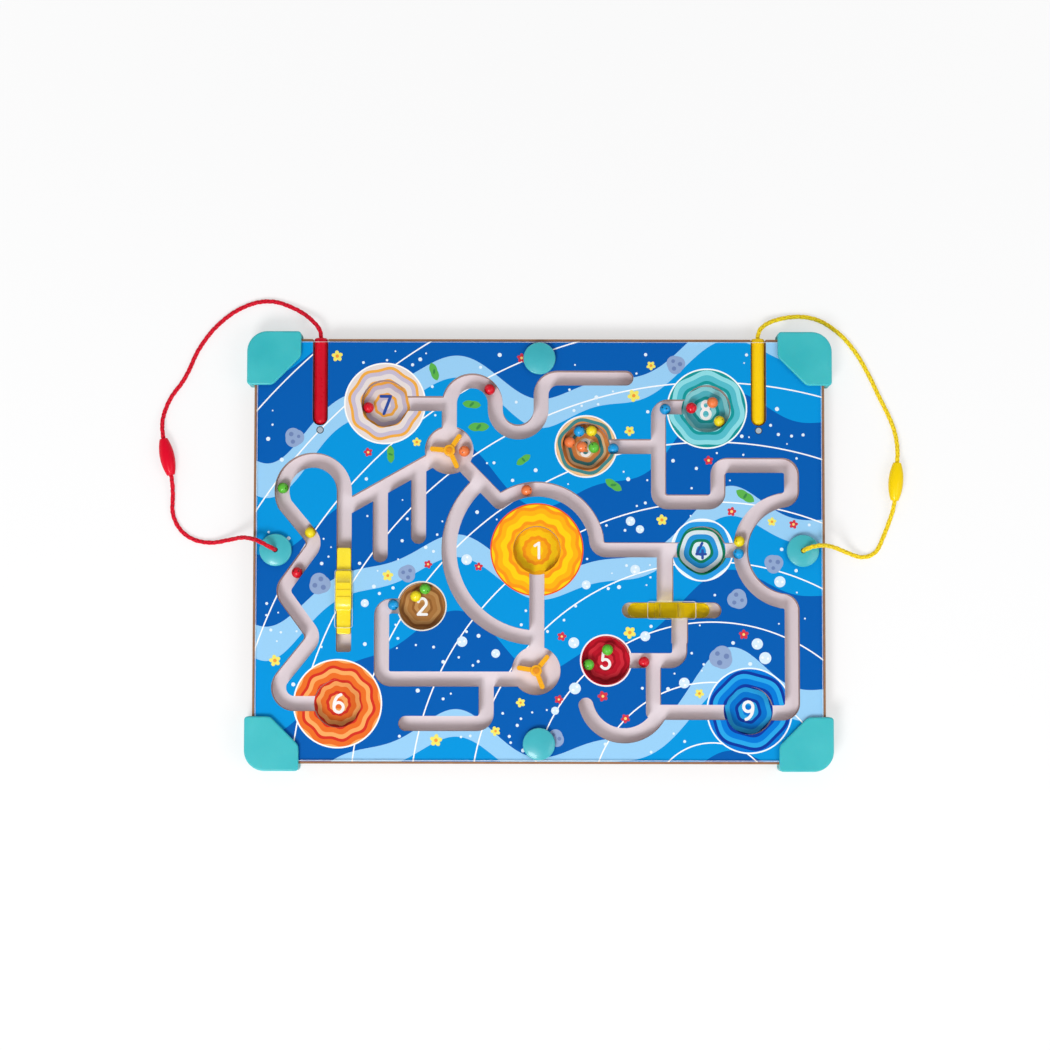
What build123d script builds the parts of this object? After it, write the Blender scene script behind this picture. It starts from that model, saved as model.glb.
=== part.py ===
from build123d import *

import os
from math import cos, pi, radians, sin, tan

# Maze board: a flat sandwich of backing board, track board and clear cover, with steel balls
# that roll in the tracks, two turning spinners, two sliding gates and two magnet wands on cords.
# The long side lies along X, the far side along +Y, and +Z rises out of the clear cover.
# The origin is the board's centre at the level that the four corner bumpers stand on.

# Layers of the board
board_length = 390
board_width = 290
board_corner_radius = 9
foot_height = 2
backing_thickness = 3
track_depth = 10
cover_thickness = 2
cover_inset = 2
cover_corner_radius = 7

# Fits
moving_gap = 0.3
seat_gap = 0.1
shaft_gap = 0.05
overrun = 1

# Tracks, as widths and radii of their centre lines
track_width = 10.2
gate_lane_width = 11.2
bend_radius = 6.5
zigzag_radius = 8.3
zigzag_foot_radius = 10.8
top_lane_radius = 11.5
bow_radius = 15.7
hook_radius = 26.7
west_arch_radius = 21.3
east_bow_radius = 35
ring_share = 0.1064
ring_radius = ring_share * board_length
outer_ring_share = 0.1538
outer_ring_radius = outer_ring_share * board_length
well_radius = 16.2
spinner_well_radius = 16.6
slot_end_radius = 1.5
ease_radius = 2.5

# Corner bumpers
bumper_reach = 37
bumper_end = 17.5
bumper_wall = 5
bumper_lip = 2
bumper_corner_radius = 14
bumper_end_radius = 2.5
bumper_bevel_radius = 6
bumper_edge_radius = 1.2

# Round knobs that clamp the layers
knob_radius = 11
knob_rim_height = 2.2
knob_height = 3.6
knob_stem_radius = 4.5
knob_end_inset = 15.4
knob_side_inset = 13.5
knob_hole_radius = 1.8
knob_cavity_radius = 3.4
screw_radius = 1.5
screw_head_radius = 3.2
screw_length = 12
screw_slot_width = 0.9
screw_slot_depth = 0.8

# Wands
wand_inset = 45
wand_radius = 4.65
wand_length = 57.6
wand_tip_radius = 3.6
wand_wall = 1.6
wand_slot_gap = 0.6
wand_proud = 1.1
cap_thickness = 2.4
cap_edge_radius = 1.6
cap_plug_length = 6
magnet_length = 9
catch_radius = 2.5
catch_wall = 0.6
catch_recess = 0.2
cord_socket_gap = 0.2
cord_socket_depth = 1.5

# Cords and their clasps
cord_radius = 1.5
cord_run_share = 0.45
clasp_radius = 5.1
clasp_end_radius = 2.7
clasp_peg_radius = 2
clasp_peg_length = 4
clasp_rise = 0.2
knot_radius = 3.1
knot_height = 5
knot_edge_radius = 1.3

# Spinners
spinner_hub_radius = 4
spinner_reach = 13.4
spinner_arm_width = 3.3
spinner_arm_drop = 1.2
spinner_hub_height = 8.4
spinner_arm_count = 3
pin_radius = 1.2
pin_head_radius = 2.1
pin_head_height = 0.8
pin_foot_gap = 0.4

# Sliding gates
slider_width = 9.6
column_slider_length = 59
column_grip_length = 27.3
column_travel = 11
cross_slider_length = 55.8
cross_grip_length = 20.3
cross_travel_left = 3.8
cross_travel_right = 7.6
cross_slot_width = 10.8
cross_slider_width = 10.2
grip_width = 10.9
grip_rise = 2.6
grip_edge_radius = 0.8
grip_ledge = 0.2
rib_width = 1.3
rib_height = 0.7
rib_pitch = 4.8
rib_count = 3
slider_corner_radius = 1.5
ball_gate_width = 9
ball_gate_headroom = 0.6

# Balls
ball_radius = 3.8

# Heights of the layers
track_z = foot_height + backing_thickness
cover_z = track_z + track_depth
face_z = cover_z + cover_thickness
bumper_height = face_z + bumper_lip


def on_board(place_shares):
    """Place on the board, from its shares of the length and the width."""
    return (place_shares[0] * board_length, place_shares[1] * board_width)


def around(centre, radius, angle):
    """Point at an angle on a circle."""
    return (centre[0] + radius * cos(radians(angle)), centre[1] + radius * sin(radians(angle)))


def between(start, end, share):
    """Point that lies a share of the way from start to end."""
    return (start[0] + share * (end[0] - start[0]), start[1] + share * (end[1] - start[1]))


def finish(piece, name):
    """Label a finished piece and write it as one STEP file."""
    piece.part.label = name
    export_step(piece.part, f"parts/{name}.step")


os.makedirs("parts", exist_ok=True)

# Wells, one for each numeral, and the two round rooms of the spinners
WELL_SHARES = {
    1: (-0.004, 0.002),
    2: (-0.205, -0.131),
    3: (0.082, 0.246),
    4: (0.285, 0.002),
    5: (0.117, -0.258),
    6: (-0.351, -0.360),
    7: (-0.271, 0.347),
    8: (0.294, 0.336),
    9: (0.367, -0.375),
}
wells = {number: on_board(place) for number, place in WELL_SHARES.items()}
upper_room = on_board((-0.158, 0.237))
lower_room = on_board((-0.005, -0.282))

# North-west tracks: well 7, an arch, a trough and the top lane
arch_centre = (upper_room[0] + bow_radius, wells[7][1])
trough_centre = (arch_centre[0] + 2 * bow_radius, on_board((0, 0.334))[1])
top_lane = on_board((0.152, 0.408))
top_lane_x = trough_centre[0] + bow_radius

# Middle tracks: the ring round well 1, the outer ring and the way to well 4
ring_end = around(wells[1], ring_radius, 14)
ring_start = around(wells[1], ring_radius, 128)

# East tracks: the column between wells 3 and 8, the meander and the east bow
column_x, column_top_y = on_board((0.209, 0.340))
meander_low_y = on_board((0, 0.115))[1]
meander_x, meander_high_y = on_board((0.313, 0.202))
east_bow = on_board((0.442, 0.001))
east_bow_top = around(east_bow, east_bow_radius, 102)
east_bow_foot = around(east_bow, east_bow_radius, 258)
south_east_y = on_board((0, -0.380))[1]

# Gate tracks: the lanes above and below the cross slider, and the way to well 5
cross_slot_centre = on_board((0.2315, -0.140))
cross_travel = cross_travel_left + cross_travel_right
cross_slot_length = cross_slider_length + cross_travel + 2 * moving_gap
upper_lane_x = on_board((0.220, 0))[0]
lower_lane_x = on_board((0.2455, 0))[0]
drop_lane = on_board((0.1995, -0.379))
hook_centre = on_board((0.1487, -0.342))
hook_start = 193

# South-west tracks: the lower room, the corner to well 2 and the branch below it
south_corner = on_board((-0.275, -0.302))
branch_x, branch_y = on_board((-0.092, -0.406))
branch_end_x = on_board((-0.232, 0))[0]

# West tracks: the zigzag from well 6, the west arch, the comb and its two prongs
west_arch = on_board((-0.396, 0.139))
west_leg_x = west_arch[0] + west_arch_radius
west_arch_end = around(west_arch, west_arch_radius, 205)
zigzag = [
    wells[6],
    on_board((-0.484, -0.360)),
    on_board((-0.3915, -0.2045)),
    on_board((-0.451, -0.0955)),
    on_board((-0.390, 0.018)),
    west_arch_end,
]
comb_foot = (west_leg_x, on_board((0, 0.0975))[1])
PRONG_SHARES = [(0.345, -0.0105), (0.71, 0.033)]
west_leg_end = on_board((0, -0.239))[1]

# Straight lanes, each with the radii of its bends
LANES = [
    ([wells[7], (upper_room[0], wells[7][1])], []),
    ([(upper_room[0], wells[7][1]), upper_room], []),
    ([around(arch_centre, bow_radius, 0), around(trough_centre, bow_radius, 180)], []),
    (
        [around(trough_centre, bow_radius, 0), (top_lane_x, top_lane[1]), top_lane],
        [top_lane_radius],
    ),
    ([wells[3], (column_x, wells[3][1])], []),
    (
        [
            (wells[8][0], column_top_y),
            (column_x, column_top_y),
            (column_x, meander_low_y),
            (meander_x, meander_low_y),
            (meander_x, meander_high_y),
            (east_bow[0], meander_high_y),
            (east_bow[0], east_bow[1] + east_bow_radius),
            east_bow_top,
        ],
        [bend_radius] * 6,
    ),
    (
        [
            east_bow_foot,
            (east_bow[0], east_bow[1] - east_bow_radius),
            (east_bow[0], south_east_y),
            (wells[9][0], south_east_y),
        ],
        [bend_radius] * 2,
    ),
    ([wells[4], around(east_bow, east_bow_radius, 180)], []),
    ([wells[4], (wells[1][0] + ring_radius, wells[4][1]), ring_end], [bend_radius]),
    ([ring_start, upper_room], []),
    ([wells[1], (wells[1][0], lower_room[1])], []),
    (
        [
            (lower_room[0], south_corner[1]),
            south_corner,
            (south_corner[0], wells[2][1]),
            wells[2],
        ],
        [bend_radius] * 2,
    ),
    (
        [
            (branch_x, south_corner[1]),
            (branch_x, branch_y),
            (branch_end_x, branch_y),
        ],
        [bend_radius],
    ),
    (zigzag, [zigzag_foot_radius, zigzag_radius, zigzag_radius, zigzag_radius]),
    ([comb_foot, upper_room], []),
    (
        [
            (lower_lane_x, cross_slot_centre[1]),
            (lower_lane_x, wells[5][1]),
            wells[5],
        ],
        [bend_radius],
    ),
    ([(drop_lane[0], wells[5][1]), drop_lane], []),
    ([drop_lane, (wells[9][0], drop_lane[1])], []),
]
for prong_share, prong_end in PRONG_SHARES:
    prong_top = between(comb_foot, upper_room, prong_share)
    LANES.append(([prong_top, (prong_top[0], on_board((0, prong_end))[1])], []))

# Round stretches of track: centre, radius, first angle and sweep
BOWS = [
    (arch_centre, bow_radius, 0, 180),
    (trough_centre, bow_radius, 180, 180),
    (wells[1], ring_radius, 14, 114),
    (wells[1], outer_ring_radius, 130, 139),
    (east_bow, east_bow_radius, 102, 156),
    (west_arch, west_arch_radius, 0, 205),
    (hook_centre, hook_radius, hook_start, 137),
]

# Places of what passes through the layers
knob_x = board_length / 2 - knob_end_inset
knob_y = board_width / 2 - knob_side_inset
knob_places = {
    "knob_top": (0, knob_y),
    "knob_bottom": (0, -knob_y),
    "cord_knob_left": (-knob_x, 0),
    "cord_knob_right": (knob_x, 0),
}
plain_knobs = ("knob_top", "knob_bottom")
cord_knobs = ("cord_knob_left", "cord_knob_right")
spinner_places = {"spinner_upper": upper_room, "spinner_lower": lower_room}
spinner_angles = {"spinner_upper": 55, "spinner_lower": 51}

# Wand slots, open at the far edge, and the steel catches beyond their blind ends
wand_x = board_length / 2 - wand_inset
wand_top = board_width / 2 + wand_proud
wand_slot_width = 2 * (wand_radius + wand_slot_gap)
wand_slot_end = wand_top - cap_thickness - wand_length - wand_slot_gap
catch_y = wand_slot_end - catch_wall - catch_radius
wand_z = track_z + track_depth / 2
wand_sides = {"red": -1, "yellow": 1}

# Column slider, at the upper end of its travel
column_slider_y = on_board((0, -0.0955))[1]
column_window_length = column_grip_length + column_travel + 2 * moving_gap
column_window_y = column_slider_y - column_travel / 2

# Cross slider, between the two ends of its travel
cross_slider_x = cross_slot_centre[0] - (cross_travel_right - cross_travel_left) / 2
cross_window_length = cross_grip_length + cross_travel + 2 * moving_gap
window_width = grip_width + 2 * moving_gap

# Plan of all tracks, rooms and wells
with BuildSketch() as track_plan:
    for lane_points, lane_radii in LANES:
        with BuildLine():
            if lane_radii:
                FilletPolyline(*lane_points, radius=lane_radii)
            else:
                Line(*lane_points)
        trace(line_width=track_width)
        with Locations(lane_points[0], lane_points[-1]):
            Circle(track_width / 2)
    for bow_centre, bow_size, bow_start, bow_sweep in BOWS:
        with BuildLine():
            CenterArc(bow_centre, bow_size, bow_start, bow_sweep)
        trace(line_width=track_width)
    with Locations(around(hook_centre, hook_radius, hook_start)):
        Circle(track_width / 2)
    with Locations(*wells.values()):
        Circle(well_radius)
    with Locations(upper_room, lower_room):
        Circle(spinner_well_radius)

# Plan of the sliders' own slots and lanes
with BuildSketch() as gate_plan:
    leg_top = west_arch[1] + slot_end_radius
    with Locations((west_leg_x, (leg_top + west_leg_end) / 2)):
        RectangleRounded(track_width, leg_top - west_leg_end, slot_end_radius)
    with Locations(cross_slot_centre):
        SlotOverall(cross_slot_length, cross_slot_width)
    with Locations((upper_lane_x, (wells[4][1] + cross_slot_centre[1]) / 2)):
        Rectangle(gate_lane_width, wells[4][1] - cross_slot_centre[1])
    with Locations((lower_lane_x, cross_slot_centre[1] - gate_lane_width)):
        Rectangle(gate_lane_width, 2 * gate_lane_width)

# Track board as it leaves the router, with the loose island still in place
with BuildPart() as routed_board:
    with BuildSketch(Plane.XY.offset(track_z)):
        RectangleRounded(board_length, board_width, board_corner_radius)
        add(track_plan.sketch, mode=Mode.SUBTRACT)
        add(gate_plan.sketch, mode=Mode.SUBTRACT)
        for side in wand_sides.values():
            with Locations((side * wand_x, wand_slot_end + wand_slot_width / 2)):
                Circle(wand_slot_width / 2, mode=Mode.SUBTRACT)
            slot_straight = board_width / 2 - wand_slot_end - wand_slot_width / 2
            with Locations((side * wand_x, board_width / 2 - slot_straight / 2)):
                Rectangle(wand_slot_width, slot_straight, mode=Mode.SUBTRACT)
        with Locations(*knob_places.values()):
            Circle(knob_stem_radius + shaft_gap, mode=Mode.SUBTRACT)
        with Locations(*[(side * wand_x, catch_y) for side in wand_sides.values()]):
            Circle(catch_radius + shaft_gap, mode=Mode.SUBTRACT)
    extrude(amount=track_depth)
board_blocks = routed_board.part.solids().sort_by(SortBy.VOLUME)
print("track board blocks", len(board_blocks), [round(block.volume) for block in board_blocks])

with BuildPart() as track_board:
    add(board_blocks[-1])
finish(track_board, "track_board")

with BuildPart() as track_island:
    add(board_blocks[0])
finish(track_island, "track_island")

# Backing board, with the holes of the screws and of the spinner pins
with BuildPart() as backing_board:
    with BuildSketch(Plane.XY.offset(foot_height)):
        RectangleRounded(board_length, board_width, board_corner_radius)
        with Locations(*spinner_places.values()):
            Circle(pin_radius + shaft_gap, mode=Mode.SUBTRACT)
        with Locations(*[knob_places[name] for name in plain_knobs]):
            Circle(screw_radius + shaft_gap, mode=Mode.SUBTRACT)
    extrude(amount=backing_thickness)
    sink_depth = screw_head_radius - screw_radius
    for name in plain_knobs:
        with BuildSketch(Plane.XY.offset(foot_height)):
            with Locations(knob_places[name]):
                Circle(screw_head_radius + shaft_gap)
        with BuildSketch(Plane.XY.offset(foot_height + sink_depth)):
            with Locations(knob_places[name]):
                Circle(screw_radius + shaft_gap)
        loft(mode=Mode.SUBTRACT)
finish(backing_board, "backing_board")

# Clear cover, with the windows of the two grips and the holes of the knob stems
with BuildPart() as clear_cover:
    with BuildSketch(Plane.XY.offset(cover_z)):
        RectangleRounded(
            board_length - 2 * cover_inset, board_width - 2 * cover_inset, cover_corner_radius
        )
        with Locations((west_leg_x, column_window_y)):
            RectangleRounded(
                window_width, column_window_length, slot_end_radius, mode=Mode.SUBTRACT
            )
        with Locations(cross_slot_centre):
            RectangleRounded(
                cross_window_length, window_width, slot_end_radius, mode=Mode.SUBTRACT
            )
        with Locations(*knob_places.values()):
            Circle(knob_stem_radius + shaft_gap, mode=Mode.SUBTRACT)
    extrude(amount=cover_thickness)
finish(clear_cover, "clear_cover")

# Corner bumpers: rubber caps whose lips hold the edges of all three layers
outer_x = board_length / 2 + bumper_wall
outer_y = board_width / 2 + bumper_wall
bumper_sides = {
    "corner_bumper_top_left": (-1, 1),
    "corner_bumper_top_right": (1, 1),
    "corner_bumper_bottom_left": (-1, -1),
    "corner_bumper_bottom_right": (1, -1),
}
bumper_corners = [
    (outer_x, outer_y, bumper_corner_radius),
    (outer_x - bumper_reach, outer_y, bumper_end_radius),
    (outer_x - bumper_reach, outer_y - bumper_end, bumper_bevel_radius),
    (outer_x - bumper_end, outer_y - bumper_reach, bumper_bevel_radius),
    (outer_x, outer_y - bumper_reach, bumper_end_radius),
]
for name, (side_x, side_y) in bumper_sides.items():
    with BuildPart() as bumper:
        with BuildSketch():
            with BuildLine():
                FilletPolyline(
                    *[(side_x * x, side_y * y) for x, y, _ in bumper_corners],
                    radius=[radius for _, _, radius in bumper_corners],
                    close=True,
                )
            make_face()
        extrude(amount=bumper_height)
        fillet(bumper.edges().group_by(Axis.Z)[-1], bumper_edge_radius)
        fillet(bumper.edges().group_by(Axis.Z)[0], bumper_edge_radius)
        with BuildSketch(Plane.XY.offset(foot_height)):
            RectangleRounded(
                board_length + 2 * seat_gap,
                board_width + 2 * seat_gap,
                board_corner_radius + seat_gap,
            )
        extrude(amount=face_z - foot_height, mode=Mode.SUBTRACT)
    finish(bumper, name)

# Knobs: domed caps whose stems run down to the backing board
for name, place in knob_places.items():
    knob_foot = (*place, face_z)
    knob_plane = Plane(origin=knob_foot, x_dir=(1, 0, 0), z_dir=(0, -1, 0))
    with BuildPart() as knob:
        with BuildSketch(knob_plane):
            with BuildLine():
                Line((0, 0), (knob_radius, 0))
                Line((knob_radius, 0), (knob_radius, knob_rim_height / 2))
                TangentArc(
                    (knob_radius, knob_rim_height / 2),
                    (knob_radius - knob_rim_height / 2, knob_rim_height),
                    tangent=(0, 1),
                )
                TangentArc(
                    (0, knob_height),
                    (knob_radius - knob_rim_height / 2, knob_rim_height),
                    tangent=(1, 0),
                )
                Line((0, knob_height), (0, 0))
            make_face()
        revolve(axis=Axis(knob_foot, (0, 0, 1)))
        with BuildSketch(Plane.XY.offset(track_z)):
            with Locations(place):
                Circle(knob_stem_radius)
        extrude(amount=face_z - track_z)
        if name in cord_knobs:
            with BuildSketch(Plane.XY.offset(track_z)):
                with Locations(place):
                    Circle(knob_cavity_radius)
            extrude(amount=track_depth, mode=Mode.SUBTRACT)
            with BuildSketch(Plane.XY.offset(cover_z)):
                with Locations(place):
                    Circle(knob_hole_radius)
            extrude(amount=cover_thickness + knob_height + overrun, mode=Mode.SUBTRACT)
        else:
            with BuildSketch(Plane.XY.offset(track_z)):
                with Locations(place):
                    Circle(screw_radius + shaft_gap)
            extrude(amount=foot_height + screw_length + seat_gap - track_z, mode=Mode.SUBTRACT)
    finish(knob, name)

# Screws that hold the two plain knobs from below, countersunk and slotted
with BuildPart() as knob_screws:
    for name in plain_knobs:
        with BuildSketch(Plane.XY.offset(foot_height + seat_gap)):
            with Locations(knob_places[name]):
                Circle(screw_head_radius - seat_gap)
        with BuildSketch(Plane.XY.offset(foot_height + sink_depth)):
            with Locations(knob_places[name]):
                Circle(screw_radius)
        loft()
        with BuildSketch(Plane.XY.offset(foot_height + sink_depth)):
            with Locations(knob_places[name]):
                Circle(screw_radius)
        extrude(amount=screw_length - sink_depth)
        with BuildSketch(Plane.XY.offset(foot_height + seat_gap)):
            with Locations(knob_places[name]):
                Rectangle(2 * screw_head_radius, screw_slot_width)
        extrude(amount=screw_slot_depth, mode=Mode.SUBTRACT)
finish(knob_screws, "knob_screws")

# Wands: plastic tubes with a magnet in the tip and a cap that the cord comes out of
bore_radius = wand_radius - wand_wall
for colour, side in wand_sides.items():
    tube_top = wand_top - cap_thickness
    tube_end = tube_top - wand_length
    across_wand = Plane(origin=(side * wand_x, tube_end, wand_z), x_dir=(1, 0, 0), z_dir=(0, 1, 0))
    with BuildPart() as wand:
        with BuildSketch(across_wand):
            Circle(wand_radius)
        extrude(amount=wand_length)
        fillet(wand.edges().group_by(Axis.Y)[0], wand_tip_radius)
        with BuildSketch(across_wand.offset(wand_wall)):
            Circle(bore_radius)
        extrude(amount=wand_length, mode=Mode.SUBTRACT)
    finish(wand, f"{colour}_wand")

    with BuildPart() as wand_magnet:
        with BuildSketch(across_wand.offset(wand_wall)):
            Circle(bore_radius - shaft_gap)
        extrude(amount=magnet_length)
    finish(wand_magnet, f"{colour}_wand_magnet")

    with BuildPart() as wand_cap:
        with BuildSketch(across_wand.offset(wand_length)):
            Circle(wand_radius)
        extrude(amount=cap_thickness)
        fillet(wand_cap.edges().group_by(Axis.Y)[-1], cap_edge_radius)
        with BuildSketch(across_wand.offset(wand_length - cap_plug_length)):
            Circle(bore_radius - shaft_gap)
        extrude(amount=cap_plug_length)
        with BuildSketch(across_wand.offset(wand_length + cap_thickness - cord_socket_depth)):
            Circle(cord_radius + cord_socket_gap)
        extrude(amount=cord_socket_depth, mode=Mode.SUBTRACT)
    finish(wand_cap, f"{colour}_wand_cap")

# Steel catches, set in the track board, that hold the wands' magnets
with BuildPart() as wand_catches:
    with BuildSketch(Plane.XY.offset(track_z)):
        with Locations(*[(side * wand_x, catch_y) for side in wand_sides.values()]):
            Circle(catch_radius)
    extrude(amount=track_depth - catch_recess)
finish(wand_catches, "wand_catches")

# Clasps: barrels of two halves that pull apart, one on each cord
clasp_z = clasp_radius + clasp_rise
clasp_ends = {
    "red": (Vector(-258.5, 77, clasp_z), Vector(-253, 52, clasp_z)),
    "yellow": (Vector(246.1, 61.3, clasp_z), Vector(244.1, 35.3, clasp_z)),
}


def clasp_half(centre, end, socket_length):
    """Half of the barrel, from its middle to one end, with its cord socket."""
    direction = (end - centre).normalized()
    half_length = (end - centre).length
    flat = Plane(origin=centre, x_dir=direction, z_dir=(0, 0, 1))
    with BuildPart() as half:
        with BuildSketch(flat):
            with BuildLine():
                Line((0, 0), (0, clasp_radius))
                TangentArc((0, clasp_radius), (half_length, clasp_end_radius), tangent=(1, 0))
                Line((half_length, clasp_end_radius), (half_length, 0))
                Line((half_length, 0), (0, 0))
            make_face()
        revolve(axis=Axis(centre, direction))
        with BuildSketch(Plane(origin=end, z_dir=-direction)):
            Circle(cord_radius + cord_socket_gap)
        extrude(amount=socket_length, mode=Mode.SUBTRACT)
    return half


for colour, (upper_end, lower_end) in clasp_ends.items():
    clasp_centre = (upper_end + lower_end) / 2
    peg_direction = (upper_end - lower_end).normalized()
    with BuildPart() as clasp_upper:
        add(clasp_half(clasp_centre, upper_end, cord_socket_depth).part)
        with BuildSketch(Plane(origin=clasp_centre, z_dir=peg_direction)):
            Circle(clasp_peg_radius + shaft_gap)
        extrude(amount=clasp_peg_length + seat_gap, mode=Mode.SUBTRACT)
    finish(clasp_upper, f"{colour}_clasp_upper")

    with BuildPart() as clasp_lower:
        add(clasp_half(clasp_centre, lower_end, cord_socket_depth).part)
        with BuildSketch(Plane(origin=clasp_centre, z_dir=peg_direction)):
            Circle(clasp_peg_radius)
        extrude(amount=clasp_peg_length)
    finish(clasp_lower, f"{colour}_clasp_lower")

# Knots that keep the cords' ends under the caps of the cord knobs
knot_sides = {"red": knob_places["cord_knob_left"], "yellow": knob_places["cord_knob_right"]}
for colour, knot_place in knot_sides.items():
    with BuildPart() as cord_knot:
        with BuildSketch(Plane.XY.offset(cover_z - knot_height)):
            with Locations(knot_place):
                Circle(knot_radius)
        extrude(amount=knot_height)
        fillet(cord_knot.edges(), knot_edge_radius)
    finish(cord_knot, f"{colour}_cord_knot")

# Routes of the cords, from the wand to the clasp and from the clasp to the knob. The ends are
# the bottoms of the sockets and the tops of the knots.
UPPER_ROUTES = {
    "red": [
        (-150, 149.8, 10),
        (-153.2, 155.6, 8.2),
        (-160.6, 162.8, 4.4),
        (-171.8, 169.4, 2.1),
        (-187, 174, 1.6),
        (-205, 169.6, 1.6),
        (-222.4, 157.2, 1.6),
        (-236, 139.4, 1.6),
        (-243.8, 119.5, 1.6),
        (-254.3, 106.4, 1.7),
        (-259.4, 93.6, 2.4),
        (-259.71, 82.5, 5.3),
    ],
    "yellow": [
        (150, 149.8, 10),
        (153.4, 155.2, 8.1),
        (161.6, 159.8, 4.3),
        (174.4, 163, 2),
        (190.2, 162.2, 1.6),
        (205, 153.6, 1.6),
        (217, 140.8, 1.6),
        (226.8, 124, 1.6),
        (235.2, 105.6, 1.6),
        (242.8, 90.6, 1.7),
        (246.4, 77.4, 2.7),
        (246.5, 66.5, 5.3),
    ],
}
LOWER_ROUTES = {
    "red": [
        (-251.9, 47, 5.3),
        (-252, 37, 2.6),
        (-252.6, 25.4, 1.6),
        (-247.5, 14.4, 1.6),
        (-237.4, 7, 1.6),
        (-224.5, 5.2, 1.8),
        (-212.5, 7.4, 6.4),
        (-202, 9, 15),
        (-192.6, 6.8, 24.2),
        (-184.3, 2.6, 27.6),
        (-179.6, 0, 22.4),
    ],
    "yellow": [
        (243.7, 30.1, 5.3),
        (240.6, 20.6, 2.4),
        (236.4, 9.2, 1.6),
        (231.6, -1, 1.6),
        (222.4, -4.4, 1.8),
        (211.6, -1, 6.6),
        (201.6, 2.6, 15.4),
        (192.2, 3.8, 24.4),
        (184.1, 2.2, 27.6),
        (179.6, 0, 22.4),
    ],
}


def cord_radii(route):
    """Radius of the arc at each inner point, from its two runs and its turn."""
    radii = []
    for before, point, after in zip(route, route[1:], route[2:]):
        run_in = Vector(*point) - Vector(*before)
        run_out = Vector(*after) - Vector(*point)
        turn = run_in.get_angle(run_out)
        shorter = min(run_in.length, run_out.length)
        radii.append(cord_run_share * shorter / tan(radians(turn / 2)))
    return radii


def cord(route, name):
    """Tube of straight runs and tangent arcs along a route."""
    radii = cord_radii(route)
    with BuildPart() as tube:
        with BuildLine():
            centre_line = FilletPolyline(*route, radius=radii)
        with BuildSketch(Plane(origin=centre_line @ 0, z_dir=centre_line % 0)):
            Circle(cord_radius)
        sweep()
    finish(tube, name)
    plain_volume = pi * cord_radius**2 * centre_line.length
    turns = [
        round((Vector(*b) - Vector(*a)).get_angle(Vector(*c) - Vector(*b)))
        for a, b, c in zip(route, route[1:], route[2:])
    ]
    runs = [round((Vector(*b) - Vector(*a)).length, 1) for a, b in zip(route, route[1:])]
    volume_share = tube.part.volume / plain_volume
    print(name, "length", round(centre_line.length, 1), "volume share", round(volume_share, 4))
    print("  radii", [round(radius, 1) for radius in radii])
    print("  turns", turns, "runs", runs)


for colour, side in wand_sides.items():
    upper_end, lower_end = clasp_ends[colour]
    along_clasp = (lower_end - upper_end).normalized()
    wand_exit = (side * wand_x, wand_top - cord_socket_depth, wand_z)
    upper_socket = tuple(upper_end + along_clasp * cord_socket_depth)
    lower_socket = tuple(lower_end - along_clasp * cord_socket_depth)
    knot_top = (*knot_sides[colour], cover_z)
    cord([wand_exit, *UPPER_ROUTES[colour], upper_socket], f"{colour}_cord_upper")
    cord([lower_socket, *LOWER_ROUTES[colour], knot_top], f"{colour}_cord_lower")

# Spinners: a hub with three arms that carries a ball round its room
hub_z = track_z + moving_gap
for name, place in spinner_places.items():
    with BuildPart() as spinner:
        with BuildSketch(Plane.XY.offset(hub_z)):
            with Locations(place):
                Circle(spinner_hub_radius)
        extrude(amount=spinner_hub_height)
        fillet(spinner.edges().group_by(Axis.Z)[-1], grip_edge_radius)
        with BuildSketch(Plane.XY.offset(hub_z + spinner_arm_drop)):
            with Locations(place):
                with PolarLocations(
                    spinner_reach / 2, spinner_arm_count, start_angle=spinner_angles[name]
                ):
                    SlotOverall(spinner_reach, spinner_arm_width)
        extrude(amount=spinner_hub_height - 2 * spinner_arm_drop)
        with BuildSketch(Plane.XY.offset(hub_z)):
            with Locations(place):
                Circle(pin_radius + shaft_gap)
        extrude(amount=spinner_hub_height, mode=Mode.SUBTRACT)
    finish(spinner, name)

# Headed pins that the spinners turn on, driven into the backing board
with BuildPart() as spinner_pins:
    pin_head_z = hub_z + spinner_hub_height + seat_gap
    with BuildSketch(Plane.XY.offset(foot_height + pin_foot_gap)):
        with Locations(*spinner_places.values()):
            Circle(pin_radius)
    extrude(amount=pin_head_z - foot_height - pin_foot_gap)
    with BuildSketch(Plane.XY.offset(pin_head_z)):
        with Locations(*spinner_places.values()):
            Circle(pin_head_radius)
    extrude(amount=pin_head_height)
    fillet(spinner_pins.edges().group_by(Axis.Z)[-1], pin_head_height / 2)
finish(spinner_pins, "spinner_pins")

# Column slider: an opaque bar in the west leg, with a ribbed grip through its window
slider_z = track_z + moving_gap
slider_height = track_depth - 2 * moving_gap
grip_z = cover_z + grip_ledge
grip_height = cover_thickness + grip_rise - grip_ledge
with BuildPart() as column_slider:
    with BuildSketch(Plane.XY.offset(slider_z)):
        with Locations((west_leg_x, column_slider_y)):
            RectangleRounded(slider_width, column_slider_length, slider_corner_radius)
    extrude(amount=slider_height)
    with BuildSketch(Plane.XY.offset(slider_z + slider_height)):
        with Locations((west_leg_x, column_slider_y)):
            Rectangle(slider_width, column_grip_length)
    extrude(amount=grip_z - slider_z - slider_height)
    with BuildSketch(Plane.XY.offset(grip_z)):
        with Locations((west_leg_x, column_slider_y)):
            RectangleRounded(grip_width, column_grip_length, slider_corner_radius)
    extrude(amount=grip_height)
    fillet(column_slider.edges().group_by(Axis.Z)[-1], grip_edge_radius)
    with BuildSketch(Plane.XY.offset(grip_z + grip_height)):
        with Locations((west_leg_x, column_slider_y)):
            with GridLocations(0, rib_pitch, 1, rib_count):
                SlotOverall(grip_width - 2 * grip_edge_radius, rib_width)
    extrude(amount=rib_height)
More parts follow.
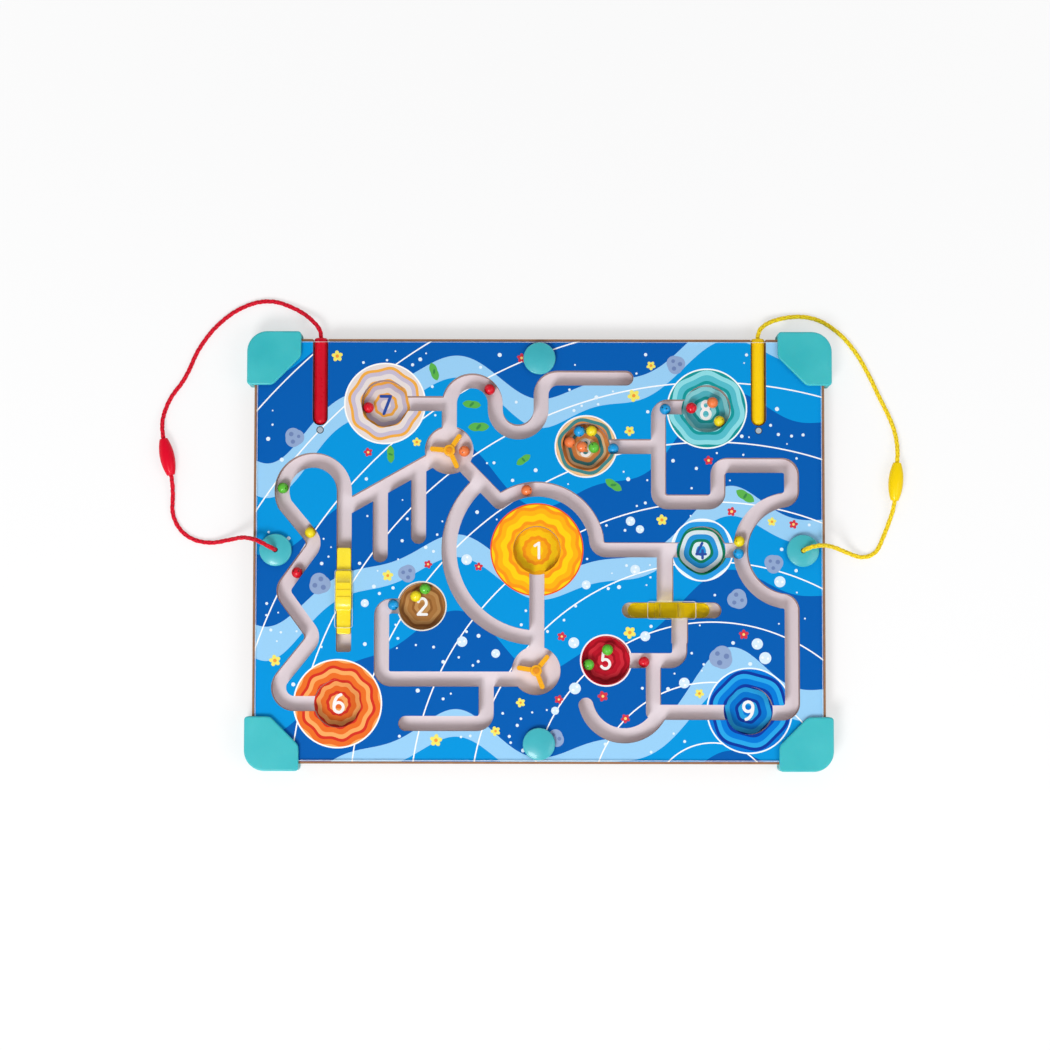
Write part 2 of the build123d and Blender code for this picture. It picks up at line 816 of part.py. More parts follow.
finish(column_slider, "column_slider")

# Cross slider: a clear bar with a gate that takes one ball from the upper lane to the lower
gate_height = 2 * ball_radius + moving_gap + ball_gate_headroom
with BuildPart() as cross_slider:
    with BuildSketch(Plane.XY.offset(slider_z)):
        with Locations((cross_slider_x, cross_slot_centre[1])):
            SlotOverall(cross_slider_length, cross_slider_width)
    extrude(amount=slider_height)
    with BuildSketch(Plane.XY.offset(slider_z + slider_height)):
        with Locations((cross_slider_x, cross_slot_centre[1])):
            Rectangle(cross_grip_length, cross_slider_width)
    extrude(amount=grip_z - slider_z - slider_height)
    with BuildSketch(Plane.XY.offset(grip_z)):
        with Locations((cross_slider_x, cross_slot_centre[1])):
            RectangleRounded(cross_grip_length, grip_width, slider_corner_radius)
    extrude(amount=grip_height)
    fillet(cross_slider.edges().group_by(Axis.Z)[-1], grip_edge_radius)
    with BuildSketch(Plane.XY.offset(grip_z + grip_height)):
        with Locations((cross_slider_x, cross_slot_centre[1])):
            with GridLocations(rib_pitch, 0, rib_count, 1):
                SlotOverall(grip_width - 2 * grip_edge_radius, rib_width, rotation=90)
    extrude(amount=rib_height)
    with BuildSketch(Plane.XY.offset(slider_z)):
        with Locations((cross_slider_x, cross_slot_centre[1])):
            Rectangle(ball_gate_width, cross_slot_width)
    extrude(amount=gate_height - moving_gap, mode=Mode.SUBTRACT)
finish(cross_slider, "cross_slider")

# Balls: each lies in a well, by its reach and angle there, or in a track, where it may lean
# towards one wall
well_reach = well_radius - ball_radius
lane_slack = track_width / 2 - ball_radius - moving_gap


def beside(start, end, share, lean):
    """Place on a straight track, with a lean towards its left wall as seen from the start."""
    place = between(start, end, share)
    run = Vector(end[0] - start[0], end[1] - start[1]).normalized()
    return (place[0] - lean * lane_slack * run.Y, place[1] + lean * lane_slack * run.X)


def in_well(number, reach_share, angle):
    """Place in a well, at a share of the way from its centre to its wall."""
    return around(wells[number], reach_share * well_reach, angle)


spinner_ball_reach = (spinner_well_radius + spinner_hub_radius) / 2
east_ball_radius = east_bow_radius + lane_slack
balls = {
    "ball_red_1": in_well(7, 0.96, 191),
    "ball_red_2": around(arch_centre, bow_radius, 41.5),
    "ball_red_3": beside(zigzag[4], zigzag[3], 0.6, 1),
    "ball_red_4": in_well(8, 0.83, 174),
    "ball_red_5": beside(wells[5], (lower_lane_x, wells[5][1]), 0.52, -1),
    "ball_orange_1": around(upper_room, spinner_ball_reach, -1.6),
    "ball_orange_2": in_well(3, 0.95, 162.5),
    "ball_orange_3": in_well(3, 0.22, 175),
    "ball_orange_4": in_well(8, 0.52, 48),
    "ball_orange_5": around(wells[1], ring_radius, 99.8),
    "ball_blue_1": in_well(3, 0.96, 112.5),
    "ball_blue_2": beside(wells[3], (column_x, wells[3][1]), 0.38, -1),
    "ball_blue_3": beside((column_x, column_top_y), (wells[8][0], column_top_y), 0.15, -1),
    "ball_blue_4": beside(wells[2], (south_corner[0], wells[2][1]), 0.72, -1),
    "ball_blue_5": around(east_bow, east_ball_radius, 183),
    "ball_yellow_1": in_well(3, 0.96, 71),
    "ball_yellow_2": in_well(8, 0.97, -42),
    "ball_yellow_3": beside(zigzag[5], zigzag[4], 0.75, 1),
    "ball_yellow_4": in_well(2, 0.66, 122.5),
    "ball_yellow_5": around(east_bow, east_ball_radius, 169.5),
    "ball_green_1": in_well(3, 0.44, -2),
    "ball_green_2": around(west_arch, west_arch_radius, 173),
    "ball_green_3": in_well(2, 0.98, 80.5),
    "ball_green_4": in_well(5, 0.6, 81),
    "ball_green_5": in_well(5, 0.97, 193.5),
}
ball_z = track_z + moving_gap + ball_radius
for name, (ball_x, ball_y) in balls.items():
    with BuildPart() as ball:
        with Locations((ball_x, ball_y, ball_z)):
            Sphere(ball_radius)
    finish(ball, name)
    print(name, round(ball_x, 3), round(ball_y, 3), round(ball_z, 3))
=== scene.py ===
import logging
import math
import random
from abc import ABC, abstractmethod
from dataclasses import dataclass
from enum import Enum
from typing import Iterable, Sequence

import bmesh
import bpy
import numpy as np
from mathutils import Matrix, Vector
from mathutils.bvhtree import BVHTree


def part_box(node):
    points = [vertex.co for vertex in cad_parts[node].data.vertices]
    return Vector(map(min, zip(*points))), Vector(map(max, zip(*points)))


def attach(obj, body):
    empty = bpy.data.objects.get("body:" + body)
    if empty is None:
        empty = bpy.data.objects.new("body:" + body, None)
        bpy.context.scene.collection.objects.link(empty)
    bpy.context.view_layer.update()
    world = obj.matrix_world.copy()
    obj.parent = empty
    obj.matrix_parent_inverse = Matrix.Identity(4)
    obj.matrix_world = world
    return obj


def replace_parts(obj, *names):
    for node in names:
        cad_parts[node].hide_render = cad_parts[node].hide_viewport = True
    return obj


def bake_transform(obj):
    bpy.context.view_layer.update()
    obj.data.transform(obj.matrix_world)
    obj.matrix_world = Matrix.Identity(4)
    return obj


# Maze board: a printed track board between a backing board and a clear cover, with enamelled
# balls, spinners, sliding gates, rubber corners and two magnet wands on braided cords.
# All sizes are in metres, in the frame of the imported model.

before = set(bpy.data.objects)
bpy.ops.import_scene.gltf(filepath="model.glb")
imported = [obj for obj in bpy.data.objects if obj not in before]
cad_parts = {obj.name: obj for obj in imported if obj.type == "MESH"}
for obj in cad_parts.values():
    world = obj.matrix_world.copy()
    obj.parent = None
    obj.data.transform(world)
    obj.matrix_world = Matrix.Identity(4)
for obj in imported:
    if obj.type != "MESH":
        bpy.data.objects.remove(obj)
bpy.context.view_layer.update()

log = logging.getLogger("maze_board")

Rgb = tuple[float, float, float]
Point = tuple[float, float, float]
Place = tuple[float, float]
Spot = tuple[float, float, float]
Material = bpy.types.Material
Mesh = bpy.types.Mesh
Node = bpy.types.Node
Shape = bmesh.types.BMesh
Socket = bpy.types.NodeSocket
Tree = bpy.types.NodeTree

BOARD_SIZE: Place = (0.390, 0.290)
BACKING_TOP = 0.005
FACE_Z = 0.015
EDGE_MARGIN = 0.0006
WELL_RADIUS = 0.0162
PRINT_LIFT = 0.00003
MERGE_DISTANCE = 0.00001
FLAT_ANGLE = math.radians(1.0)
SHARP_ANGLE = math.radians(45.0)
SMOOTH_ANGLE = math.radians(35.0)
BUMP_STRENGTH = 0.6
FACES_UP = 0.5
# A line this near to upright has no level side
STEEP = 0.1
LEAST_STEPS = 8
BOARD_BODY = "board"
STRAND_UV = "strand"
# Depth of a cord's strands in its braid, from which the yarn paints shade
SUNK = "sunk"


def srgb(red: int, green: int, blue: int) -> Rgb:
    """Linear colour of a display colour, whose parts go from 0 to 255."""
    shares = (value / 255 for value in (red, green, blue))
    return tuple(s / 12.92 if s <= 0.04045 else ((s + 0.055) / 1.055) ** 2.4 for s in shares)


def scaled(colour: Rgb, factor: float) -> Rgb:
    """A darker tone of a colour, with a share of its light."""
    return tuple(factor * part for part in colour)


WHITE = srgb(250, 250, 250)
NUMERAL_BLUE = srgb(10, 70, 165)
JOINT_DARK: Rgb = (0.04, 0.02, 0.012)

# Most of a noise's values lie between these two
NOISE_SPAN = (0.3, 0.7)
NOISE_DETAIL = 4.0

FIBRE_STRETCH: Point = (260.0, 420.0, 1900.0)
FIBRE_SPAN = (0.35, 0.7)
FIBRE_DETAIL = 6.0
FIBRE_DARK: Rgb = (0.02, 0.012, 0.008)
FIBRE_DARK_SHARE = 0.55

# Waves of the printed bands: coordinate, radians to the metre, phase and height
BAND_WAVES = ((0, 30.0, 0.7, 0.021), (0, 71.0, 2.1, 0.0075), (1, 44.0, 0.4, 0.006))
BAND_SLANT = -0.16
MIDDLE_FROM = 0.47
PALE_FROM = 0.84
ARC_CENTRE: Place = (0.118, -0.172)

SCALLOP = 0.035
SECOND_FROM = 0.42
THIRD_FROM = 0.76
OUTLINE_WIDTH = 0.001


class Graph:
    """A node tree with short calls for adding and linking nodes."""

    def __init__(self, tree: Tree) -> None:
        """Wraps the tree that the calls add to."""
        self.tree = tree

    def feed(self, socket: Socket, value: object) -> None:
        """Links a socket, or sets its constant.

        Args:
            socket: The input socket.
            value: An output socket, a number, a colour or a vector.
        """
        if isinstance(value, Socket):
            self.tree.links.new(value, socket)
        elif isinstance(value, tuple) and socket.type == "RGBA":
            socket.default_value = (*value, 1.0)
        else:
            socket.default_value = value

    def node(
        self, kind: str, feeds: dict[str | int, object] | None = None, **settings: object
    ) -> Node:
        """Adds a node.

        Args:
            kind: Blender's name of the node type.
            feeds: What goes into its inputs, by name or number.
            **settings: Properties to set on the node.

        Returns:
            The new node.
        """
        made = self.tree.nodes.new(kind)
        for name, value in settings.items():
            setattr(made, name, value)
        for name, value in (feeds or {}).items():
            self.feed(made.inputs[name], value)
        return made

    def math(self, operation: str, *values: object, clamp: bool = False) -> Socket:
        """Adds a Math node, and gives its output."""
        feeds = dict(enumerate(values))
        return self.node("ShaderNodeMath", feeds, operation=operation, use_clamp=clamp).outputs[0]

    def mix(self, factor: object, first: object, second: object) -> Socket:
        """Adds a colour mix, with a share of the second colour, and gives its output."""
        feeds = {"Factor": factor, 6: first, 7: second}
        return self.node("ShaderNodeMix", feeds, data_type="RGBA").outputs[2]

    def ramp(
        self, value: object, low: float, high: float, to_low: object = 0.0, to_high: object = 1.0
    ) -> Socket:
        """Adds a clamped Map Range, and gives its output."""
        ends = {"From Min": low, "From Max": high, "To Min": to_low, "To Max": to_high}
        return self.node("ShaderNodeMapRange", {"Value": value, **ends}).outputs[0]

    def split(self, vector: Socket) -> tuple[Socket, ...]:
        """Splits a vector into its three parts."""
        return tuple(self.node("ShaderNodeSeparateXYZ", {0: vector}).outputs)

    def away(self, x: Socket, y: Socket) -> Socket:
        """Distance from the origin in the plane."""
        squares = [self.math("MULTIPLY", part, part) for part in (x, y)]
        return self.math("SQRT", self.math("ADD", *squares))

    def sine(self, value: Socket, factor: float, phase: float = 0.0) -> Socket:
        """Sine of a value times a factor, plus a phase."""
        return self.math("SINE", self.math("MULTIPLY_ADD", value, factor, phase))

    def group(self, tree: Tree, **values: object) -> Node:
        """Places a node group. Its inputs have their names, with spaces as underscores."""
        feeds = {name.replace("_", " "): value for name, value in values.items()}
        return self.node("ShaderNodeGroup", feeds, node_tree=tree)

    def seen(self) -> tuple[Node, Socket]:
        """Tells the rays that show a thing itself from those that only light others.

        Returns:
            The Light Path node, and a value that is 1 on camera and transmission rays.
        """
        rays = self.node("ShaderNodeLightPath")
        shows = [rays.outputs[name] for name in ("Is Camera Ray", "Is Transmission Ray")]
        return rays, self.math("MAXIMUM", *shows)


class ShaderGroup(Graph):
    """A shader node group that is being built."""

    def __init__(
        self, name: str, inputs: dict[str, float | Rgb | None], outputs: dict[str, str]
    ) -> None:
        """Starts the group.

        Args:
            name: The group's name.
            inputs: Default of each input: a number, a colour, or None for a vector.
            outputs: Kind of each output.
        """
        super().__init__(bpy.data.node_groups.new(name, "ShaderNodeTree"))
        for label, default in inputs.items():
            is_colour = isinstance(default, tuple)
            kind = "Vector" if default is None else "Color" if is_colour else "Float"
            socket = self.tree.interface.new_socket(
                label, in_out="INPUT", socket_type="NodeSocket" + kind
            )
            if default is not None:
                socket.default_value = (*default, 1.0) if is_colour else default
        for label, kind in outputs.items():
            self.tree.interface.new_socket(
                label, in_out="OUTPUT", socket_type="NodeSocket" + kind
            )
        self.given = self.node("NodeGroupInput").outputs
        self.result = self.node("NodeGroupOutput").inputs

    def deliver(self, **values: Socket) -> Tree:
        """Links the outputs.

        Args:
            **values: What each output gives, by name.

        Returns:
            The finished tree.
        """
        for name, value in values.items():
            self.feed(self.result[name], value)
        return self.tree


def build_mottle() -> Tree:
    """Group of soft, uneven values, for roughness, colour and small bumps.

    Returns:
        The node group.
    """
    inputs = {"Vector": None, "Scale": 400.0, "Low": 0.0, "High": 1.0}
    group = ShaderGroup("mottle", inputs, {"Value": "Float", "Height": "Float"})
    given = group.given
    feeds = {"Vector": given["Vector"], "Scale": given["Scale"], "Detail": NOISE_DETAIL}
    height = group.node("ShaderNodeTexNoise", feeds).outputs[0]
    value = group.ramp(height, *NOISE_SPAN, given["Low"], given["High"])
    return group.deliver(Value=value, Height=height)


def build_fibre() -> Tree:
    """Group of the speckled fibres of pressed wood board.

    Returns:
        The node group.
    """
    inputs = {"Vector": None, "Colour": (0.5, 0.4, 0.3), "Depth": 0.3}
    group = ShaderGroup("wood_fibre", inputs, {"Colour": "Color"})
    given = group.given
    feeds = {"Vector": given["Vector"], "Scale": FIBRE_STRETCH}
    stretch = group.node("ShaderNodeMapping", feeds).outputs[0]
    feeds = {"Vector": stretch, "Scale": 1.0, "Detail": FIBRE_DETAIL}
    speck = group.ramp(group.node("ShaderNodeTexNoise", feeds).outputs[0], *FIBRE_SPAN)
    shade = group.math("MULTIPLY", speck, given["Depth"])
    dark = group.mix(FIBRE_DARK_SHARE, given["Colour"], FIBRE_DARK)
    return group.deliver(Colour=group.mix(shade, given["Colour"], dark))


def build_wave_print() -> Tree:
    """Group of the printed ground: rolling bands in blues, with thin pale arcs.

    Returns:
        The node group.
    """
    group = ShaderGroup(
        "wave_print",
        {
            "Vector": None, "Deep": (0.0, 0.1, 0.4), "Middle": (0.0, 0.3, 0.7),
            "Pale": (0.3, 0.6, 0.8), "Line": (1.0, 1.0, 1.0), "Band": 0.118,
            "Arc Step": 0.041, "Arc Width": 0.0009,
        },
        {"Colour": "Color"},
    )
    given = group.given
    place = group.split(given["Vector"])
    rise = place[1]
    for axis, factor, phase, height in BAND_WAVES:
        rise = group.math("MULTIPLY_ADD", group.sine(place[axis], factor, phase), height, rise)
    rise = group.math("MULTIPLY_ADD", place[0], BAND_SLANT, rise)
    share = group.math("FRACT", group.math("DIVIDE", rise, given["Band"]))
    colour = given["Deep"]
    for name, start in (("Middle", MIDDLE_FROM), ("Pale", PALE_FROM)):
        colour = group.mix(group.math("GREATER_THAN", share, start), colour, given[name])
    away = group.away(
        *[group.math("SUBTRACT", part, middle) for part, middle in zip(place, ARC_CENTRE)]
    )
    step = group.math("MODULO", away, given["Arc Step"])
    line = group.math("LESS_THAN", step, given["Arc Width"])
    return group.deliver(Colour=group.mix(line, colour, given["Line"]))


def build_ring_disc() -> Tree:
    """Group of one printed disc: scalloped rings in three colours inside a pale outline.

    Returns:
        The node group.
    """
    group = ShaderGroup(
        "ring_disc",
        {
            "Vector": None, "Under": (0.0, 0.0, 0.0), "Centre": None, "Radius": 0.02,
            "Limit": 1.0, "First": WHITE, "Second": WHITE, "Third": WHITE, "Rim": WHITE,
            "Rings": 3.0, "Lobes": 8.0,
        },
        {"Colour": "Color"},
    )
    given = group.given
    feeds = {0: given["Vector"], 1: given["Centre"]}
    offset = group.node("ShaderNodeVectorMath", feeds, operation="SUBTRACT")
    x, y, _ = group.split(offset.outputs[0])
    away = group.away(x, y)
    share = group.math("DIVIDE", away, given["Radius"])
    turn = group.math("MULTIPLY", group.math("ARCTAN2", y, x), given["Lobes"])
    scallop = group.math("MULTIPLY", group.math("SINE", turn), SCALLOP)
    wavy = group.math("MULTIPLY_ADD", scallop, share, share)
    ring = group.math("FRACT", group.math("MULTIPLY", wavy, given["Rings"]))
    colour = given["First"]
    for name, start in (("Second", SECOND_FROM), ("Third", THIRD_FROM)):
        colour = group.mix(group.math("GREATER_THAN", ring, start), colour, given[name])
    inner = group.math("SUBTRACT", given["Radius"], OUTLINE_WIDTH)
    colour = group.mix(group.math("GREATER_THAN", away, inner), colour, given["Rim"])
    reach = group.math("MINIMUM", given["Radius"], given["Limit"])
    inside = group.math("LESS_THAN", away, reach)
    return group.deliver(Colour=group.mix(inside, given["Under"], colour))


@dataclass(frozen=True)
class Well:
    """A numbered well and the disc that is printed round it and on its floor."""

    number: int
    share: Place
    disc_radius: float
    first: Rgb
    second: Rgb
    third: Rgb
    rim: Rgb
    rings: float
    lobes: float
    numeral_height: float
    numeral_is_white: bool

    @property
    def centre(self) -> Place:
        """The well's middle, from its shares of the board's length and width."""
        return (self.share[0] * BOARD_SIZE[0], self.share[1] * BOARD_SIZE[1])


WELLS = (
    Well(1, (-0.004, 0.002), 0.0318, srgb(252, 205, 20), srgb(250, 178, 20), srgb(246, 150, 25),
         srgb(236, 88, 35), 3.2, 12, 0.0118, True),
    Well(2, (-0.205, -0.131), 0.0170, srgb(176, 122, 66), srgb(196, 146, 88), srgb(150, 98, 50),
         srgb(232, 224, 210), 2.4, 7, 0.0126, True),
    Well(3, (0.082, 0.246), 0.0215, srgb(214, 134, 70), srgb(66, 132, 134), srgb(232, 190, 140),
         srgb(245, 243, 240), 3.1, 6, 0.0126, True),
    Well(4, (0.285, 0.002), 0.0215, srgb(40, 152, 222), srgb(222, 240, 246), srgb(16, 128, 92),
         srgb(245, 247, 250), 2.6, 5, 0.0118, False),
    Well(5, (0.117, -0.258), 0.0178, srgb(196, 22, 44), srgb(214, 44, 60), srgb(170, 14, 34),
         srgb(245, 238, 240), 2.5, 9, 0.0126, True),
    Well(6, (-0.351, -0.360), 0.0303, srgb(232, 110, 40), srgb(246, 168, 96), srgb(212, 50, 36),
         srgb(250, 248, 244), 3.6, 10, 0.0138, True),
    Well(7, (-0.271, 0.347), 0.0280, srgb(226, 216, 214), srgb(196, 186, 206), srgb(238, 170, 70),
         srgb(250, 249, 246), 3.4, 8, 0.0138, False),
    Well(8, (0.294, 0.336), 0.0276, srgb(84, 186, 200), srgb(140, 216, 224), srgb(20, 148, 150),
         srgb(245, 250, 250), 3.0, 7, 0.0138, True),
    Well(9, (0.367, -0.375), 0.0293, srgb(0, 120, 212), srgb(40, 164, 228), srgb(10, 56, 156),
         srgb(240, 248, 252), 3.3, 6, 0.0138, True),
)


def build_well_discs(ring_disc: Tree) -> Tree:
    """Group that lays all the wells' discs over a ground colour.

    Args:
        ring_disc: The group of one disc.

    Returns:
        The node group.
    """
    inputs = {"Vector": None, "Under": (0.0, 0.0, 0.0), "Limit": 1.0}
    group = ShaderGroup("well_discs", inputs, {"Colour": "Color"})
    given = group.given
    colour = given["Under"]
    for well in WELLS:
        colour = group.group(
            ring_disc, Vector=given["Vector"], Under=colour, Centre=(*well.centre, 0.0),
            Radius=well.disc_radius, Limit=given["Limit"], First=well.first, Second=well.second,
            Third=well.third, Rim=well.rim, Rings=well.rings, Lobes=well.lobes,
        ).outputs[0]
    return group.deliver(Colour=colour)


MOTTLE = build_mottle()
FIBRE = build_fibre()
WAVE_PRINT = build_wave_print()
WELL_DISCS = build_well_discs(build_ring_disc())


class Surface(Graph):
    """The nodes of one material, around its Principled shader."""

    def __init__(self, name: str) -> None:
        """Starts the material.

        Args:
            name: The material's name.
        """
        self.material = bpy.data.materials.new(name)
        self.material.use_nodes = True
        super().__init__(self.material.node_tree)
        self.shader = self.tree.nodes["Principled BSDF"]
        self.vector = self.node("ShaderNodeTexCoord").outputs["Object"]

    def set(self, **values: object) -> None:
        """Feeds the shader's inputs, by their names with spaces as underscores."""
        for name, value in values.items():
            self.feed(self.shader.inputs[name.replace("_", " ")], value)

    def mottle(
        self, scale: float, low: float = 0.0, high: float = 1.0, vector: Socket | None = None
    ) -> tuple[Socket, Socket]:
        """Soft, uneven values.

        Args:
            scale: How fine they are.
            low: Least value.
            high: Greatest value.
            vector: Where they are read, other than the object's coordinates.

        Returns:
            The values, and their height from 0 to 1.
        """
        place = self.vector if vector is None else vector
        made = self.group(MOTTLE, Vector=place, Scale=scale, Low=low, High=high)
        return made.outputs["Value"], made.outputs["Height"]

    def bump(self, height: Socket, depth: float) -> None:
        """Gives the shader a bump, from a height of 0 to 1 and its depth in metres."""
        feeds = {"Height": height, "Distance": depth, "Strength": BUMP_STRENGTH}
        self.set(Normal=self.node("ShaderNodeBump", feeds).outputs[0])

    def flatten(self) -> tuple[Socket, Socket]:
        """Shades the faces of a sheet or board as flat as they are.

        Returns:
            The faces' own normal, and its upward part.
        """
        flat = self.node("ShaderNodeNewGeometry").outputs["True Normal"]
        self.set(Normal=flat)
        return flat, self.split(flat)[2]


@dataclass(frozen=True)
class Finish(ABC):
    """A look that becomes one material."""

    name: str

    @abstractmethod
    def paint(self, surface: Surface) -> None:
        """Sets the shader up.

        Args:
            surface: The new material.
        """

    def material(self) -> Material:
        """Builds the material.

        Returns:
            The material.
        """
        surface = Surface(self.name)
        self.paint(surface)
        return surface.material


@dataclass(frozen=True)
class Moulded(Finish):
    """Moulded plastic or rubber: an even colour with a faint mottle and soft gloss."""

    colour: Rgb
    shade: Rgb
    roughness: float
    coat: float = 0.0
    gloss: float = 0.5
    grain: float = 420.0
    grain_depth: float = 0.00002
    scatter: float = 0.0
    scatter_reach: float = 0.004
    coat_roughness: float = 0.08
    patch_scale: float = 35.0
    smoother: float = 0.05
    rougher: float = 0.06

    def paint(self, surface: Surface) -> None:
        """Sets the shader up.

        Args:
            surface: The new material.
        """
        patch, _ = surface.mottle(self.patch_scale)
        rough, height = surface.mottle(
            self.grain, self.roughness - self.smoother, self.roughness + self.rougher
        )
        surface.bump(height, self.grain_depth)
        surface.set(
            Base_Color=surface.mix(patch, self.colour, self.shade), Roughness=rough,
            Specular_IOR_Level=self.gloss, Coat_Weight=self.coat,
            Coat_Roughness=self.coat_roughness, Subsurface_Weight=self.scatter,
            Subsurface_Scale=self.scatter_reach,
        )


@dataclass(frozen=True)
class Enamel(Finish):
    """Glossy paint on a steel ball, with small pits where it dried, and painted shade in the pits.
    """

    colour: Rgb
    pit_shade: Rgb
    cell_scale: float = 300.0
    pit_span: tuple[float, float] = (0.15, 0.19)
    pit_depth: float = 0.0001
    shade_share: float = 0.08
    polish_scale: float = 900.0
    polish_span: tuple[float, float] = (0.22, 0.34)

    def paint(self, surface: Surface) -> None:
        """Sets the shader up.

        Args:
            surface: The new material.
        """
        feeds = {"Vector": surface.vector, "Scale": self.cell_scale}
        cells = surface.node("ShaderNodeTexVoronoi", feeds).outputs["Distance"]
        # Mask of the small pits, where painted shade darkens the colour.
        pits = surface.ramp(cells, *self.pit_span, 1.0, 0.0)
        patch, _ = surface.mottle(self.cell_scale)
        shade = surface.mix(self.shade_share, self.colour, self.pit_shade)
        colour = surface.mix(patch, self.colour, shade)
        surface.bump(surface.math("SUBTRACT", 1.0, pits), self.pit_depth)
        surface.set(
            Base_Color=surface.mix(pits, colour, self.pit_shade),
            Roughness=surface.mottle(self.polish_scale, *self.polish_span)[0],
            Specular_IOR_Level=0.35, Coat_Weight=0.35, Coat_Roughness=0.06,
        )


@dataclass(frozen=True)
class Steel(Finish):
    """Bare or plated steel with fine turning marks."""

    colour: Rgb
    roughness: float
    mark_scale: float = 1500.0
    mark_stretch: Point = (1.0, 6.0, 1.0)
    mark_depth: float = 0.00001
    smoother: float = 0.08
    rougher: float = 0.1
    worn_share: float = 0.6

    def paint(self, surface: Surface) -> None:
        """Sets the shader up.

        Args:
            surface: The new material.
        """
        feeds = {"Vector": surface.vector, "Scale": self.mark_stretch}
        stretch = surface.node("ShaderNodeMapping", feeds).outputs[0]
        rough, marks = surface.mottle(
            self.mark_scale, self.roughness - self.smoother, self.roughness + self.rougher,
            vector=stretch,
        )
        surface.bump(marks, self.mark_depth)
        surface.set(
            Base_Color=surface.mix(marks, self.colour, scaled(self.colour, self.worn_share)),
            Roughness=rough, Metallic=1.0,
        )


@dataclass(frozen=True)
class TurnedPins(Finish):
    """A pair of steel pins seen end on: a turned face inside a dark rim, which is painted shade at
    their edge.
    """

    colour: Rgb
    node: str
    face_share: float = 0.76
    rim_blur: float = 0.06
    rim_shade: Rgb = (0.035, 0.05, 0.07)
    groove_rate: float = 16000.0
    groove_depth: float = 0.00001
    groove_share: float = 0.78
    polish_span: tuple[float, float] = (0.34, 0.46)

    def paint(self, surface: Surface) -> None:
        """Sets the shader up.

        Args:
            surface: The new material.
        """
        low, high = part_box(self.node)
        radius = (high.y - low.y) / 2
        x, y, _ = surface.split(surface.vector)
        away = surface.away(
            surface.math("SUBTRACT", surface.math("ABSOLUTE", x), high.x - radius),
            surface.math("SUBTRACT", y, (low.y + high.y) / 2),
        )
        turning = surface.math("MULTIPLY_ADD", surface.sine(away, self.groove_rate), 0.5, 0.5)
        face = surface.mix(turning, self.colour, scaled(self.colour, self.groove_share))
        # A dark ring painted round each face stands for the shade at its edge.
        ends = [share * radius for share in (self.face_share, self.face_share + self.rim_blur)]
        rim = surface.ramp(away, *ends)
        surface.bump(turning, self.groove_depth)
        surface.set(
            Base_Color=surface.mix(rim, face, self.rim_shade),
            Roughness=surface.ramp(turning, 0.0, 1.0, *self.polish_span), Metallic=0.45,
        )


@dataclass(frozen=True)
class ClearSheet(Finish):
    """Thin clear sheet: almost unseen on its faces, with a pale painted reflection at glancing
    views, and brighter along its cut edges with a painted highlight.
    """

    colour: Rgb
    face_alpha: float
    glance_reflection_alpha: float
    edge_highlight_alpha: float
    edge_highlight_share: float = 0.7
    level_from: float = 0.98
    glance_span: tuple[float, float] = (0.04, 0.6)
    edge_glint_scale: float = 240.0
    haze_scale: float = 60.0
    haze_span: tuple[float, float] = (0.05, 0.12)
    refraction: float = 1.49

    def paint(self, surface: Surface) -> None:
        """Sets the shader up.

        Args:
            surface: The new material.
        """
        flat, upward = surface.flatten()
        level = surface.math("GREATER_THAN", surface.math("ABSOLUTE", upward), self.level_from)
        feeds = {"IOR": self.refraction, "Normal": flat}
        glance = surface.node("ShaderNodeFresnel", feeds).outputs[0]
        inside = surface.node("ShaderNodeNewGeometry").outputs["Backfacing"]
        outer = surface.math("MULTIPLY", glance, surface.math("SUBTRACT", 1.0, inside))
        # The face turns pale as the view glances: painted reflection.
        face = surface.ramp(outer, *self.glance_span, self.face_alpha, self.glance_reflection_alpha)
        # The cut and bevelled edges get a painted highlight, unevenly bright along them.
        least = self.edge_highlight_share * self.edge_highlight_alpha
        edge_glint, _ = surface.mottle(self.edge_glint_scale, least, self.edge_highlight_alpha)
        edge = surface.math("MULTIPLY", surface.math("SUBTRACT", 1.0, level), edge_glint)
        surface.set(
            Base_Color=self.colour,
            Roughness=surface.mottle(self.haze_scale, *self.haze_span)[0],
            Alpha=surface.math("MULTIPLY_ADD", level, face, edge),
        )


@dataclass(frozen=True)
class TintedClear(Finish):
    """Solid tinted plastic that light passes through, as in the cross slider."""

    colour: Rgb
    roughness: float
    let_through: float = 0.70
    refraction: float = 1.35
    clarity: float = 0.92
    swirl_scale: float = 90.0
    swirl_share: float = 0.86
    grain: float = 500.0
    rougher: float = 0.08

    def paint(self, surface: Surface) -> None:
        """Sets the shader up.

        Args:
            surface: The new material.
        """
        swirl, _ = surface.mottle(self.swirl_scale)
        grain, _ = surface.mottle(self.grain, self.roughness, self.roughness + self.rougher)
        shadow = surface.node("ShaderNodeLightPath").outputs["Is Shadow Ray"]
        surface.set(
            Base_Color=surface.mix(swirl, self.colour, scaled(self.colour, self.swirl_share)),
            Roughness=grain, IOR=self.refraction, Transmission_Weight=self.clarity,
            Alpha=surface.math("MULTIPLY_ADD", shadow, -self.let_through, 1.0),
        )


